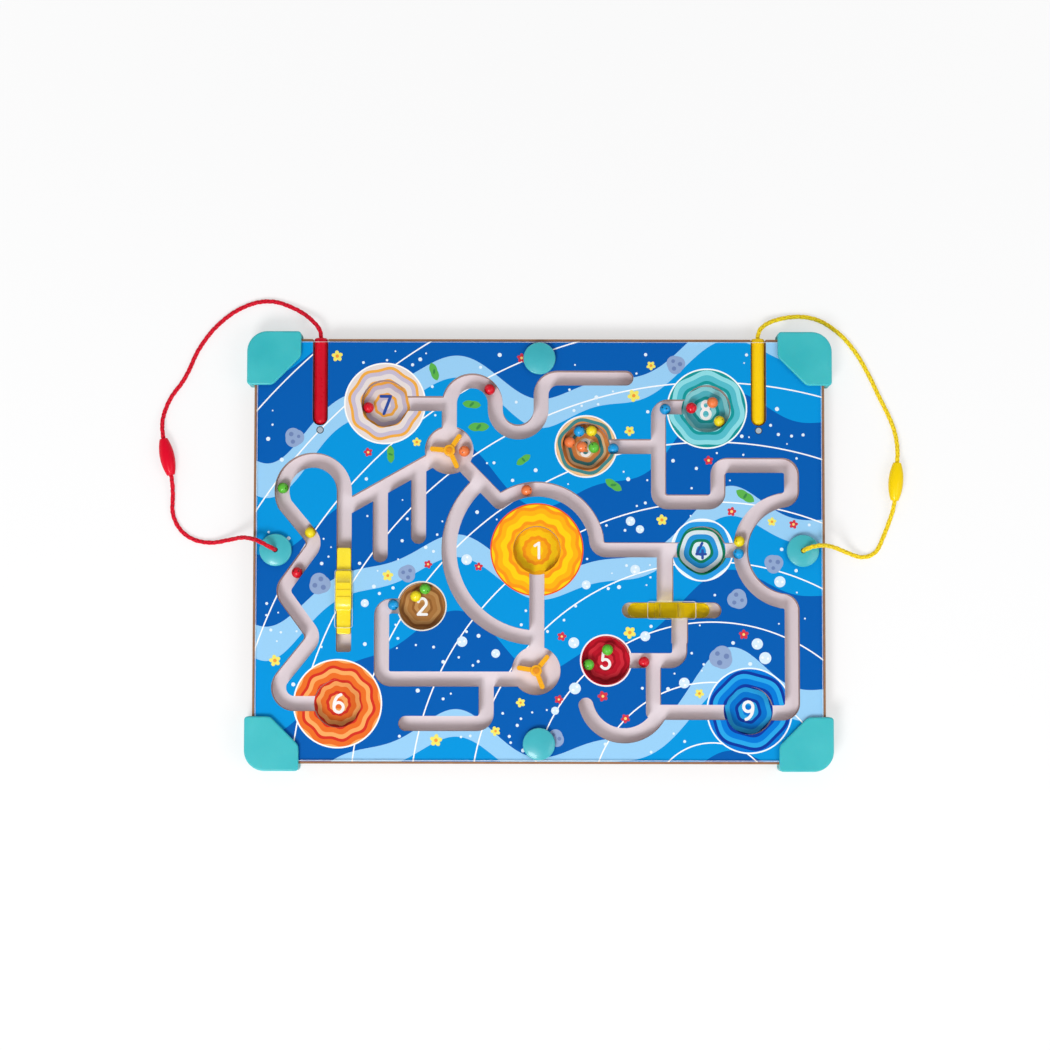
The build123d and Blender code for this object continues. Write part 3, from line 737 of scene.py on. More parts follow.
@dataclass(frozen=True)
class PrintedBoard(Finish):
    """Pressed wood: printed on the top face, pale in the tracks and brown at the outer edges."""

    deep: Rgb
    middle: Rgb
    pale: Rgb
    track: Rgb
    cut_edge: Rgb
    board_edge: Rgb
    bare_border: float = 0.0016
    joint_line: float = 0.0005
    joint_share: float = 0.3
    burn_depths: tuple[float, float] = (0.0016, 0.0001)
    fibre_depth: float = 0.35
    ink_scale: float = 700.0
    ink_span: tuple[float, float] = (0.36, 0.46)
    rougher_cut: float = 0.35
    gloss: float = 0.04

    @staticmethod
    def near_edge(surface: Surface, margin: float) -> Socket:
        """Masks what lies near the board's outline.

        Args:
            surface: The new material.
            margin: How far in from the outline.

        Returns:
            The mask.
        """
        masks = [
            surface.math("GREATER_THAN", surface.math("ABSOLUTE", part), side / 2 - margin)
            for part, side in zip(surface.split(surface.vector), BOARD_SIZE)
        ]
        return surface.math("MAXIMUM", *masks)

    def bare(self, surface: Surface, border: Socket) -> Socket:
        """Colours what has no print: the tracks' walls, the border and the outer edges.

        Args:
            surface: The new material.
            border: Mask of the border.

        Returns:
            The colour.
        """
        height = surface.split(surface.vector)[2]
        burn = surface.ramp(height, *[FACE_Z - depth for depth in self.burn_depths])
        joint_top = BACKING_TOP + self.joint_line
        joint = surface.ramp(height, BACKING_TOP, joint_top, self.joint_share, 1.0)
        edge = surface.mix(joint, JOINT_DARK, self.board_edge)
        wall = surface.mix(burn, self.track, self.cut_edge)
        wall = surface.mix(self.near_edge(surface, EDGE_MARGIN), wall, edge)
        wall = surface.mix(border, wall, self.board_edge)
        fibre = surface.group(FIBRE, Vector=surface.vector, Colour=wall, Depth=self.fibre_depth)
        return fibre.outputs[0]

    def printed(self, surface: Surface) -> Socket:
        """Colours the printed face: the wavy ground with the wells' discs over it.

        Args:
            surface: The new material.

        Returns:
            The colour.
        """
        ground = surface.group(
            WAVE_PRINT, Vector=surface.vector, Deep=self.deep, Middle=self.middle,
            Pale=self.pale, Line=WHITE,
        )
        under = ground.outputs[0]
        discs = surface.group(WELL_DISCS, Vector=surface.vector, Under=under, Limit=1.0)
        return discs.outputs[0]

    def paint(self, surface: Surface) -> None:
        """Sets the shader up.

        Args:
            surface: The new material.
        """
        facing_up = surface.math("GREATER_THAN", surface.flatten()[1], FACES_UP)
        sideways = surface.math("SUBTRACT", 1.0, facing_up)
        border = self.near_edge(surface, self.bare_border)
        has_print = surface.math("SUBTRACT", facing_up, border, clamp=True)
        ink, _ = surface.mottle(self.ink_scale, *self.ink_span)
        bare, printed = self.bare(surface, border), self.printed(surface)
        surface.set(
            Base_Color=surface.mix(has_print, bare, printed),
            Roughness=surface.math("MULTIPLY_ADD", sideways, self.rougher_cut, ink),
            Specular_IOR_Level=self.gloss,
        )


@dataclass(frozen=True)
class BackingBoard(Finish):
    """Thin fibre board: pale track floor, printed well floors and a brown underside."""

    floor: Rgb
    underside: Rgb
    fibre_depth: float = 0.5
    sheen_scale: float = 500.0
    sheen_span: tuple[float, float] = (0.42, 0.58)
    gloss: float = 0.04

    def paint(self, surface: Surface) -> None:
        """Sets the shader up.

        Args:
            surface: The new material.
        """
        vector, limit = surface.vector, WELL_RADIUS + EDGE_MARGIN
        facing_up = surface.math("GREATER_THAN", surface.flatten()[1], FACES_UP)
        printed = surface.group(WELL_DISCS, Vector=vector, Under=self.floor, Limit=limit)
        fibre = surface.group(
            FIBRE, Vector=vector, Colour=self.underside, Depth=self.fibre_depth
        )
        surface.set(
            Base_Color=surface.mix(facing_up, fibre.outputs[0], printed.outputs[0]),
            Roughness=surface.mottle(self.sheen_scale, *self.sheen_span)[0],
            Specular_IOR_Level=self.gloss,
        )


@dataclass(frozen=True)
class BraidedYarn(Finish):
    """Twisted yarn of a braided cord, with painted shade where a strand dives under another and
    between its plies.
    """

    colour: Rgb
    shade: Rgb
    gap_shade: Rgb
    gap_shade_span: tuple[float, float] = (0.35, 0.9)
    gap_shade_share: float = 0.6
    ply_rate: float = 9000.0
    ply_depth: float = 0.00006
    fuzz_scale: float = 1800.0
    rough_span: tuple[float, float] = (0.55, 0.8)

    def paint(self, surface: Surface) -> None:
        """Sets the shader up.

        Args:
            surface: The new material.
        """
        sunk = surface.node("ShaderNodeAttribute", attribute_name=SUNK).outputs["Fac"]
        strand = surface.node("ShaderNodeUVMap", uv_map=STRAND_UV).outputs[0]
        length, share, _ = surface.split(strand)
        along = surface.math("MULTIPLY", length, self.ply_rate)
        twist = surface.math("MULTIPLY_ADD", share, math.tau, along)
        ply = surface.math("MULTIPLY_ADD", surface.math("SINE", twist), 0.5, 0.5)
        fuzz, height = surface.mottle(self.fuzz_scale)
        # Painted shade in the grooves between the twisted plies, broken up by a random fuzz.
        tone = surface.mix(surface.math("MULTIPLY", ply, fuzz), self.shade, self.colour)
        # Painted shade where a strand dives under another, by its depth in the braid.
        dark = surface.ramp(sunk, *self.gap_shade_span, 0.0, self.gap_shade_share)
        surface.bump(ply, self.ply_depth)
        surface.set(
            Base_Color=surface.mix(dark, tone, self.gap_shade),
            Roughness=surface.ramp(height, *NOISE_SPAN, *self.rough_span),
            Specular_IOR_Level=0.2, Sheen_Weight=0.12, Sheen_Roughness=0.4,
        )


@dataclass(frozen=True)
class Ink(Finish):
    """Flat printing ink, for the numerals and the small printed motifs."""

    colour: Rgb
    thin_share: float = 0.94
    cover_scale: float = 900.0
    cover_span: tuple[float, float] = (0.9, 1.0)
    rough_span: tuple[float, float] = (0.4, 0.5)

    def paint(self, surface: Surface) -> None:
        """Sets the shader up.

        Args:
            surface: The new material.
        """
        cover, height = surface.mottle(self.cover_scale, *self.cover_span)
        surface.set(
            Base_Color=surface.mix(cover, scaled(self.colour, self.thin_share), self.colour),
            Roughness=surface.ramp(height, *NOISE_SPAN, *self.rough_span),
        )


def dress(finish: Finish | Material, *nodes: str) -> None:
    """Gives CAD nodes a material.

    Args:
        finish: The material, or the look that it is built from.
        *nodes: Names of the CAD nodes.
    """
    material = finish.material() if isinstance(finish, Finish) else finish
    for name in nodes:
        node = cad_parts[name]
        for slot in node.material_slots:
            slot.material = material
        if not node.material_slots:
            node.data.materials.append(material)
    log.info("%s on %d nodes", material.name, len(nodes))


def link(name: str, data: bpy.types.ID) -> bpy.types.Object:
    """Puts an object in the scene.

    Args:
        name: The object's name.
        data: Its mesh, curve, light or camera.

    Returns:
        The object.
    """
    holder = bpy.data.objects.new(name, data)
    bpy.context.scene.collection.objects.link(holder)
    return holder


def add_piece(name: str, mesh: Mesh, body: str = "") -> bpy.types.Object:
    """Makes an object of a mesh, at the origin, that rides on a body.

    Args:
        name: The piece's name.
        mesh: Its mesh, already in place.
        body: The body that it moves with, or none for a piece that stays where it is.

    Returns:
        The object.
    """
    piece = link(name, mesh)
    mesh.name = name
    if body:
        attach(piece, body)
    log.info("%s: %d faces", name, len(mesh.polygons))
    return piece


def evaluated_mesh(source: bpy.types.Object) -> Mesh:
    """Plain mesh of an object with its modifiers, after which the object is removed.

    Args:
        source: A mesh or curve object.

    Returns:
        The new mesh.
    """
    bpy.context.view_layer.update()
    graph = bpy.context.evaluated_depsgraph_get()
    mesh = bpy.data.meshes.new_from_object(source.evaluated_get(graph), depsgraph=graph)
    bpy.data.objects.remove(source, do_unlink=True)
    return mesh


def working_copy(node: str) -> Shape:
    """Copies a CAD node's mesh, with each flat face in one piece again.

    Args:
        node: The CAD node.

    Returns:
        The copy.
    """
    shape = bmesh.new()
    shape.from_mesh(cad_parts[node].data)
    bmesh.ops.remove_doubles(shape, verts=shape.verts, dist=MERGE_DISTANCE)
    bmesh.ops.dissolve_limit(
        shape, angle_limit=FLAT_ANGLE, verts=shape.verts, edges=shape.edges
    )
    return shape


def is_sharp(edge: bmesh.types.BMEdge) -> bool:
    """Whether two faces meet in an edge at a sharp angle."""
    return edge.calc_face_angle(0.0) > SHARP_ANGLE


def bevel(shape: Shape, edges: list[bmesh.types.BMEdge], reach: float, segments: int) -> None:
    """Breaks edges of a shape.

    Args:
        shape: The shape.
        edges: Its edges to break.
        reach: How far the bevel goes to each side.
        segments: Its steps.
    """
    bmesh.ops.bevel(
        shape, geom=edges, offset=reach, segments=segments, profile=0.5, affect="EDGES"
    )


def settle(shape: Shape, name: str, finish: Finish) -> Mesh:
    """Turns a working shape into a mesh.

    Args:
        shape: The shape, which is freed.
        name: The mesh's name.
        finish: Its look.

    Returns:
        The mesh.
    """
    mesh = bpy.data.meshes.new(name)
    shape.to_mesh(mesh)
    shape.free()
    mesh.materials.append(finish.material())
    return mesh


def bow(middle: Place, reach: Place, start: float, end: float, steps: int = 20) -> list[Place]:
    """Lays points along a bowed part of a numeral.

    Args:
        middle: The bow's centre.
        reach: Its half width and half height.
        start: Angle of its first point, in degrees.
        end: Angle of its last point, in degrees.
        steps: Steps between the two.

    Returns:
        The points.
    """
    angles = [math.radians(start + (end - start) * step / steps) for step in range(steps + 1)]
    return [(middle[0] + reach[0] * math.cos(a), middle[1] + reach[1] * math.sin(a))
            for a in angles]


# Strokes of the numerals, in shares of their height
NUMERAL_STROKES: dict[int, list[list[Place]]] = {
    1: [[(0.08, 0.77), (0.32, 0.94)], [(0.32, 0.94), (0.32, 0.06)]],
    2: [[*bow((0.28, 0.69), (0.22, 0.25), 165, -35), (0.05, 0.07)], [(0.05, 0.07), (0.52, 0.07)]],
    3: [bow((0.25, 0.72), (0.20, 0.21), 150, -90), bow((0.25, 0.29), (0.23, 0.23), 90, -150)],
    4: [[(0.38, 0.94), (0.05, 0.30)], [(0.05, 0.30), (0.58, 0.30)], [(0.40, 0.52), (0.40, 0.06)]],
    5: [[(0.48, 0.93), (0.14, 0.93)], [(0.14, 0.93), (0.10, 0.54)],
        bow((0.25, 0.31), (0.24, 0.25), 128, -150)],
    6: [bow((0.29, 0.31), (0.23, 0.24), 0, 360), bow((0.46, 0.36), (0.40, 0.58), 186, 98)],
    7: [[(0.04, 0.93), (0.52, 0.93)], [(0.52, 0.93), (0.19, 0.06)]],
    8: [bow((0.27, 0.74), (0.18, 0.19), 0, 360), bow((0.27, 0.30), (0.22, 0.24), 0, 360)],
    9: [bow((0.29, 0.69), (0.23, 0.24), 0, 360), bow((0.12, 0.64), (0.40, 0.58), 6, -82)],
}


def unit_rows(rows: np.ndarray) -> np.ndarray:
    """Rows scaled to a length of 1."""
    return rows / np.linalg.norm(rows, axis=1)[:, None]


@dataclass
class Numerals:
    """The plain, round-ended numerals that are printed on the floors of the wells."""

    thickness: float = 0.00004
    stagger: float = 0.000008
    weight_share: float = 0.15
    cap_steps: int = 8

    def stroke(self, band: Shape, points: np.ndarray, half: float, level: float) -> None:
        """Adds one flat stroke with round ends.

        Args:
            band: The mesh that it is added to.
            points: The stroke's middle line, as rows.
            half: Half its width.
            level: Height at which it lies.
        """
        is_ring = np.allclose(points[0], points[-1])
        run = np.gradient(points, axis=0)
        if is_ring:
            run[0] = run[-1] = points[1] - points[-2]
        run = half * unit_rows(run)
        side = np.stack([-run[:, 1], run[:, 0]], axis=1)
        if is_ring:
            points, side = points[:-1], side[:-1]
        left = [band.verts.new((*place, level)) for place in points + side]
        right = [band.verts.new((*place, level)) for place in points - side]
        count = len(points)
        for here in range(count if is_ring else count - 1):
            after = (here + 1) % count
            band.faces.new((right[here], right[after], left[after], left[here]))
        if is_ring:
            return
        angles = [math.pi * step / self.cap_steps for step in range(1, self.cap_steps)]
        for index, first, last, way in ((-1, right, left, 1.0), (0, left, right, -1.0)):
            around = [
                points[index] + way * (math.sin(a) * run[index] - math.cos(a) * side[index])
                for a in angles
            ]
            cap = [band.verts.new((*place, level)) for place in around]
            band.faces.new((first[index], *cap, last[index]))

    def add(self, band: Shape, well: Well) -> None:
        """Adds the strokes of one well's numeral.

        Args:
            band: The mesh that they are added to.
            well: The well that it numbers.
        """
        strokes = [np.array(stroke) for stroke in NUMERAL_STROKES[well.number]]
        every = np.concatenate(strokes)
        middle = (every.min(axis=0) + every.max(axis=0)) / 2
        for index, stroke in enumerate(strokes):
            points = np.array(well.centre) + well.numeral_height * (stroke - middle)
            level = BACKING_TOP + PRINT_LIFT + index * self.stagger
            self.stroke(band, points, well.numeral_height * self.weight_share / 2, level)

    def build(self) -> None:
        """Builds the white numerals as one piece and the blue ones as another."""
        for tone, colour in (("white", WHITE), ("blue", NUMERAL_BLUE)):
            band = bmesh.new()
            for well in WELLS:
                if well.numeral_is_white == (tone == "white"):
                    self.add(band, well)
            raised = bmesh.ops.extrude_face_region(band, geom=band.faces[:], use_keep_orig=True)
            top = [part for part in raised["geom"] if isinstance(part, bmesh.types.BMVert)]
            bmesh.ops.translate(band, verts=top, vec=(0.0, 0.0, self.thickness))
            bmesh.ops.recalc_face_normals(band, faces=band.faces)
            mesh = settle(band, "numerals_" + tone, Ink("numeral_ink_" + tone, colour))
            add_piece(mesh.name, mesh, BOARD_BODY)


class Motif(Enum):
    """Small printed shapes: half their lobes, their least radius and how much it swings."""

    BUBBLE = (1.0, 1.0, 0.0)
    BLOSSOM = (2.5, 0.60, 0.40)
    LEAF = (1.0, 1.0, -0.62)
    PEBBLE = (1.5, 0.86, 0.14)


@dataclass(frozen=True)
class Scatter:
    """One kind of motif, spread over the board, with smaller marks on each."""

    label: str
    motif: Motif
    colour: Rgb
    count: int
    least_radius: float
    most_radius: float
    mark_colour: Rgb | None = None
    marks: int = 0
    mark_share: float = 0.0
    mark_motif: Motif = Motif.BUBBLE


# The largest come first, so that each finds room
SCATTERS = (
    Scatter("pebbles", Motif.PEBBLE, srgb(140, 164, 204), 8, 0.0062, 0.0084,
            srgb(104, 128, 178), 3, 0.20),
    Scatter("leaves", Motif.LEAF, srgb(84, 178, 66), 7, 0.0058, 0.0078,
            srgb(44, 138, 62), 1, 0.30, Motif.LEAF),
    Scatter("bubbles", Motif.BUBBLE, srgb(214, 234, 248), 16, 0.0026, 0.0042,
            srgb(248, 252, 255), 2, 0.22),
    Scatter("red_blossoms", Motif.BLOSSOM, srgb(214, 30, 58), 12, 0.0028, 0.0038,
            srgb(250, 214, 120), 1, 0.28),
    Scatter("yellow_blossoms", Motif.BLOSSOM, srgb(242, 230, 96), 14, 0.0030, 0.0044,
            srgb(240, 150, 40), 1, 0.28),
    Scatter("spray", Motif.BUBBLE, srgb(226, 241, 251), 150, 0.0005, 0.0014),
)


def build_motif_tree() -> Tree:
    """Geometry nodes that set a flat lobed shape on each point.

    Returns:
        The node tree, with inputs for the outline, the thickness and the material.
    """
    tree = bpy.data.node_groups.new("motif_on_points", "GeometryNodeTree")
    for label, kind, way, default in (
        ("Geometry", "Geometry", "INPUT", None),
        ("Sides", "Int", "INPUT", 40),
        ("Half Lobes", "Float", "INPUT", 1.0),
        ("Base", "Float", "INPUT", 1.0),
        ("Swing", "Float", "INPUT", 0.0),
        ("Thickness", "Float", "INPUT", 0.00004),
        ("Material", "Material", "INPUT", None),
        ("Geometry", "Geometry", "OUTPUT", None),
    ):
        socket = tree.interface.new_socket(label, in_out=way, socket_type="NodeSocket" + kind)
        if default is not None:
            socket.default_value = default
    graph = Graph(tree)
    given = graph.node("NodeGroupInput").outputs
    feeds = {"Vertices": given["Sides"], "Radius": 1.0}
    circle = graph.node("GeometryNodeMeshCircle", feeds, fill_type="NGON")
    place = graph.node("GeometryNodeInputPosition").outputs[0]
    x, y, _ = graph.split(place)
    turn = graph.math("MULTIPLY", graph.math("ARCTAN2", y, x), given["Half Lobes"])
    lobe = graph.math("ABSOLUTE", graph.math("SINE", turn))
    size = graph.math("MULTIPLY_ADD", lobe, given["Swing"], given["Base"])
    lobed = graph.node("ShaderNodeVectorMath", {0: place, "Scale": size}, operation="SCALE")
    feeds = {"Geometry": circle.outputs["Mesh"], "Position": lobed.outputs[0]}
    shaped = graph.node("GeometryNodeSetPosition", feeds)
    feeds = {"Points": given["Geometry"], "Instance": shaped.outputs[0]}
    for attribute, target in (("size", "Scale"), ("turn", "Rotation")):
        feeds[target] = graph.node(
            "GeometryNodeInputNamedAttribute", {"Name": attribute}, data_type="FLOAT_VECTOR"
        ).outputs[0]
    spread = graph.node("GeometryNodeInstanceOnPoints", feeds)
    real = graph.node("GeometryNodeRealizeInstances", {0: spread.outputs[0]})
    feeds = {"Mesh": real.outputs[0], "Offset Scale": given["Thickness"]}
    thick = graph.node("GeometryNodeExtrudeMesh", feeds, mode="FACES")
    feeds = {"Geometry": thick.outputs["Mesh"], "Material": given["Material"]}
    inked = graph.node("GeometryNodeSetMaterial", feeds)
    graph.node("NodeGroupOutput", {0: inked.outputs[0]})
    return tree


@dataclass
class PrintedMotifs:
    """Bubbles, blossoms, leaves and pebbles that are printed on the board's face."""

    seed: int = 11
    thickness: float = 0.00002
    spacing: float = 0.0022
    bare_border: float = 0.006
    disc_gap: float = 0.001
    track_gap: float = 0.0012
    corner: Place = (0.150, 0.100)
    probes: int = 12
    probe_height: float = 0.01
    face_depth: float = 0.0002
    tries: int = 60
    mark_place: float = 0.45
    mark_span: tuple[float, float] = (0.85, 1.15)

    def __post_init__(self) -> None:
        """Prepares the test for free face and the list of taken places."""
        self.random = random.Random(self.seed)
        self.taken: list[Spot] = []
        self.faces = [self.surface(name) for name in ("track_board", "track_island")]
        self.tree = build_motif_tree()

    @staticmethod
    def surface(name: str) -> BVHTree:
        """Search tree of a CAD node's faces.

        Args:
            name: The CAD node.

        Returns:
            The tree.
        """
        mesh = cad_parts[name].data
        mesh.calc_loop_triangles()
        corners = [vertex.co for vertex in mesh.vertices]
        return BVHTree.FromPolygons(corners, [tuple(t.vertices) for t in mesh.loop_triangles])

    def on_face(self, x: float, y: float) -> bool:
        """Whether a place is on the printed face, not over a track or past the cover.

        Args:
            x: Place along the board.
            y: Place across the board.

        Returns:
            True where there is face.
        """
        if any(abs(part) > side / 2 - self.bare_border for part, side in zip((x, y), BOARD_SIZE)):
            return False
        above, down = Vector((x, y, FACE_Z + self.probe_height)), Vector((0.0, 0.0, -1.0))
        hits = [faces.ray_cast(above, down)[0] for faces in self.faces]
        return any(hit is not None and hit.z > FACE_Z - self.face_depth for hit in hits)

    def is_free(self, x: float, y: float, radius: float) -> bool:
        """Whether a motif has room.

        Args:
            x: Its place along the board.
            y: Its place across the board.
            radius: Its radius.

        Returns:
            True where it lies on face all round, clear of discs, corners and other motifs.
        """
        discs = [(*well.centre, well.disc_radius + self.disc_gap) for well in WELLS]
        motifs = [(a, b, size + self.spacing) for a, b, size in self.taken]
        if any(math.dist((x, y), (a, b)) < size + radius for a, b, size in discs + motifs):
            return False
        if abs(x) > self.corner[0] and abs(y) > self.corner[1]:
            return False
        reach = radius + self.track_gap
        angles = [step * math.tau / self.probes for step in range(self.probes)]
        return all(
            self.on_face(x + reach * math.cos(a), y + reach * math.sin(a)) for a in angles
        )

    def spread(self, kind: Scatter) -> list[Spot]:
        """Finds free places for motifs.

        Args:
            kind: What is spread.

        Returns:
            Place and radius of each.
        """
        found: list[Spot] = []
        for _ in range(kind.count * self.tries):
            if len(found) == kind.count:
                break
            radius = self.random.uniform(kind.least_radius, kind.most_radius)
            x = self.random.uniform(-BOARD_SIZE[0] / 2, BOARD_SIZE[0] / 2)
            y = self.random.uniform(-BOARD_SIZE[1] / 2, BOARD_SIZE[1] / 2)
            if self.is_free(x, y, radius):
                found.append((x, y, radius))
                self.taken.append((x, y, radius))
        return found

    def print_kind(
        self, label: str, motif: Motif, ink: Ink, places: Sequence[Spot], layer: int = 1
    ) -> None:
        """Builds all motifs of one kind and colour as one piece.

        Args:
            label: The piece's name.
            motif: The shape.
            ink: The ink.
            places: Place and radius of each.
            layer: 1 on the ground, 2 on top of another motif.
        """
        mesh = bpy.data.meshes.new(label)
        level = FACE_Z + layer * PRINT_LIFT
        mesh.from_pydata([(x, y, level) for x, y, _ in places], [], [])
        sizes = mesh.attributes.new("size", "FLOAT_VECTOR", "POINT")
        turns = mesh.attributes.new("turn", "FLOAT_VECTOR", "POINT")
        for index, (_, _, radius) in enumerate(places):
            sizes.data[index].vector = (radius, radius, 1.0)
            turns.data[index].vector = (0.0, 0.0, self.random.uniform(0.0, math.tau))
        holder = link(label, mesh)
        modifier = holder.modifiers.new("motifs", "NODES")
        modifier.node_group = self.tree
        half_lobes, base, swing = motif.value
        values = {
            "Half Lobes": half_lobes, "Base": base, "Swing": swing,
            "Thickness": self.thickness, "Material": ink.material(),
        }
        for item in self.tree.interface.items_tree:
            if item.in_out == "INPUT" and item.name in values:
                modifier[item.identifier] = values[item.name]
        add_piece(label, evaluated_mesh(holder), BOARD_BODY)

    def around(self, places: Sequence[Spot], kind: Scatter) -> list[Spot]:
        """Places of small marks on top of motifs.

        Args:
            places: Place and radius of each motif.
            kind: Which marks they get; a single mark lies in the middle.

        Returns:
            Place and radius of each mark.
        """
        marks = []
        for x, y, radius in places:
            start = self.random.uniform(0.0, math.tau)
            for index in range(kind.marks):
                angle = start + index * math.tau / kind.marks
                away = 0.0 if kind.marks == 1 else self.mark_place * radius
                share = kind.mark_share * self.random.uniform(*self.mark_span)
                marks.append((x + away * math.cos(angle), y + away * math.sin(angle),
                              share * radius))
        return marks

    def build(self) -> None:
        """Spreads and prints every kind."""
        for kind in SCATTERS:
            places = self.spread(kind)
            self.print_kind(kind.label, kind.motif, Ink(kind.label + "_ink", kind.colour), places)
            if kind.mark_colour is not None:
                ink = Ink(kind.label + "_mark_ink", kind.mark_colour)
                marks = self.around(places, kind)
                self.print_kind(kind.label + "_marks", kind.mark_motif, ink, marks, layer=2)


def carried_axes(points: np.ndarray) -> tuple[np.ndarray, np.ndarray]:
    """Two axes across a line, carried along it without twist.

    Args:
        points: The line's points, as rows.

    Returns:
        The first and the second axis at each point, as rows.
    """
    tangents = unit_rows(np.gradient(points, axis=0))
    side = np.cross(tangents[0], (0.0, 0.0, 1.0))
    if np.linalg.norm(side) < STEEP:
        side = np.cross(tangents[0], (0.0, 1.0, 0.0))
    sides = []
    for tangent in tangents:
        side = side - np.dot(side, tangent) * tangent
        side = side / np.linalg.norm(side)
        sides.append(side)
    return np.array(sides), np.cross(tangents, sides)


def evenly(points: np.ndarray, step: float) -> np.ndarray:
    """Points at even distances along a line.

    Args:
        points: Points of the line, as rows.
        step: Wanted distance.

    Returns:
        The new points, with both ends kept.
    """
    lengths = np.r_[0.0, np.cumsum(np.linalg.norm(np.diff(points, axis=0), axis=1))]
    count = max(LEAST_STEPS, int(lengths[-1] / step))
    wanted = np.linspace(0.0, lengths[-1], count + 1)
    return np.stack([np.interp(wanted, lengths, points[:, axis]) for axis in range(3)], axis=1)


@dataclass
class BraidedCord:
    """A round braided cord along a smooth line: a core and crossing strands."""

    label: str
    route: Sequence[Point]
    yarn: Material
    diameter: float = 0.003
    core_radius: float = 0.00092
    core_sides: int = 10
    strand_radius: float = 0.00116
    strand_width: float = 0.00074
    strand_height: float = 0.00030
    strand_sides: int = 6
    weave: float = 0.00015
    pitch: float = 0.018
    carriers: int = 8
    step: float = 0.0006
    line_order: int = 3
    line_steps: int = 24

    def __post_init__(self) -> None:
        """Starts the lists that the mesh is made from."""
        self.corners: list[Point] = []
        self.faces: list[tuple[int, ...]] = []
        self.marks: list[Place] = []
        self.sunk: list[float] = []

    def spline(self) -> np.ndarray:
        """Samples the cord's smooth line.

        Returns:
            Its points, as rows.
        """
        curve = bpy.data.curves.new(self.label + "_line", "CURVE")
        curve.dimensions = "3D"
        curve.resolution_u = self.line_steps
        line = curve.splines.new("NURBS")
        line.points.add(len(self.route) - 1)
        for target, place in zip(line.points, self.route):
            target.co = (*place, 1.0)
        line.order_u = self.line_order
        line.use_endpoint_u = True
        mesh = evaluated_mesh(link(curve.name, curve))
        return np.array([vertex.co[:] for vertex in mesh.vertices])

    def add_tube(
        self, centres: np.ndarray, wide: np.ndarray, high: np.ndarray, sides: int,
        depths: np.ndarray,
    ) -> None:
        """Adds one closed tube.

        Args:
            centres: Its middle line, as rows.
            wide: Half the section's width at each point, as rows.
            high: Half the section's height at each point, as rows.
            sides: Corners of a section.
            depths: How deep in the braid each section lies, from 0 to 1.
        """
        start = len(self.corners)
        last = start + (len(centres) - 1) * sides
        for index, centre in enumerate(centres):
            for side in range(sides):
                angle = math.tau * side / sides
                offset = math.cos(angle) * wide[index] + math.sin(angle) * high[index]
                self.corners.append(tuple(centre + offset))
                self.marks.append((index * self.step, side / sides))
                self.sunk.append(depths[index])
        for ring in range(start, last, sides):
            for side in range(sides):
                here, beside = ring + side, ring + (side + 1) % sides
                self.faces.append((here, beside, beside + sides, here + sides))
        self.faces.append(tuple(reversed(range(start, start + sides))))
        self.faces.append(tuple(range(last, last + sides)))

    def build(self) -> tuple[Mesh, np.ndarray]:
        """Builds the cord's mesh.

        Returns:
            The mesh and the points that it follows.
        """
        path = evenly(self.spline(), self.step)
        side, up = carried_axes(path)
        self.add_tube(path, self.core_radius * side, self.core_radius * up, self.core_sides,
                      np.ones(len(path)))
        turns = math.tau * self.step / self.pitch * np.arange(len(path))
        for carrier in range(self.carriers):
            hand = 1 if carrier % 2 else -1
            start = math.tau * (carrier // 2) / (self.carriers / 2)
            phases = (start + hand * turns)[:, None]
            over = hand * np.cos(self.carriers / 2 * turns + start)
            outward = np.cos(phases) * side + np.sin(phases) * up
            centres = path + (self.strand_radius + self.weave * over)[:, None] * outward
            across = np.cross(unit_rows(np.gradient(centres, axis=0)), outward)
            self.add_tube(centres, self.strand_width * across, -self.strand_height * outward,
                          self.strand_sides, (1.0 - over) / 2)
        mesh = bpy.data.meshes.new(self.label)
        mesh.from_pydata(self.corners, [], self.faces)
        layer = mesh.uv_layers.new(name=STRAND_UV)
        for loop in mesh.loops:
            layer.data[loop.index].uv = self.marks[loop.vertex_index]
        mesh.attributes.new(SUNK, "FLOAT", "POINT").data.foreach_set("value", self.sunk)
        shell = bmesh.new()
        shell.from_mesh(mesh)
        bmesh.ops.recalc_face_normals(shell, faces=shell.faces)
        shell.to_mesh(mesh)
        shell.free()
        mesh.shade_smooth()
        mesh.materials.append(self.yarn)
        return mesh, path


class WandColour(Enum):
    """The two wands, which differ in colour and in side."""

    RED = "red"
    YELLOW = "yellow"


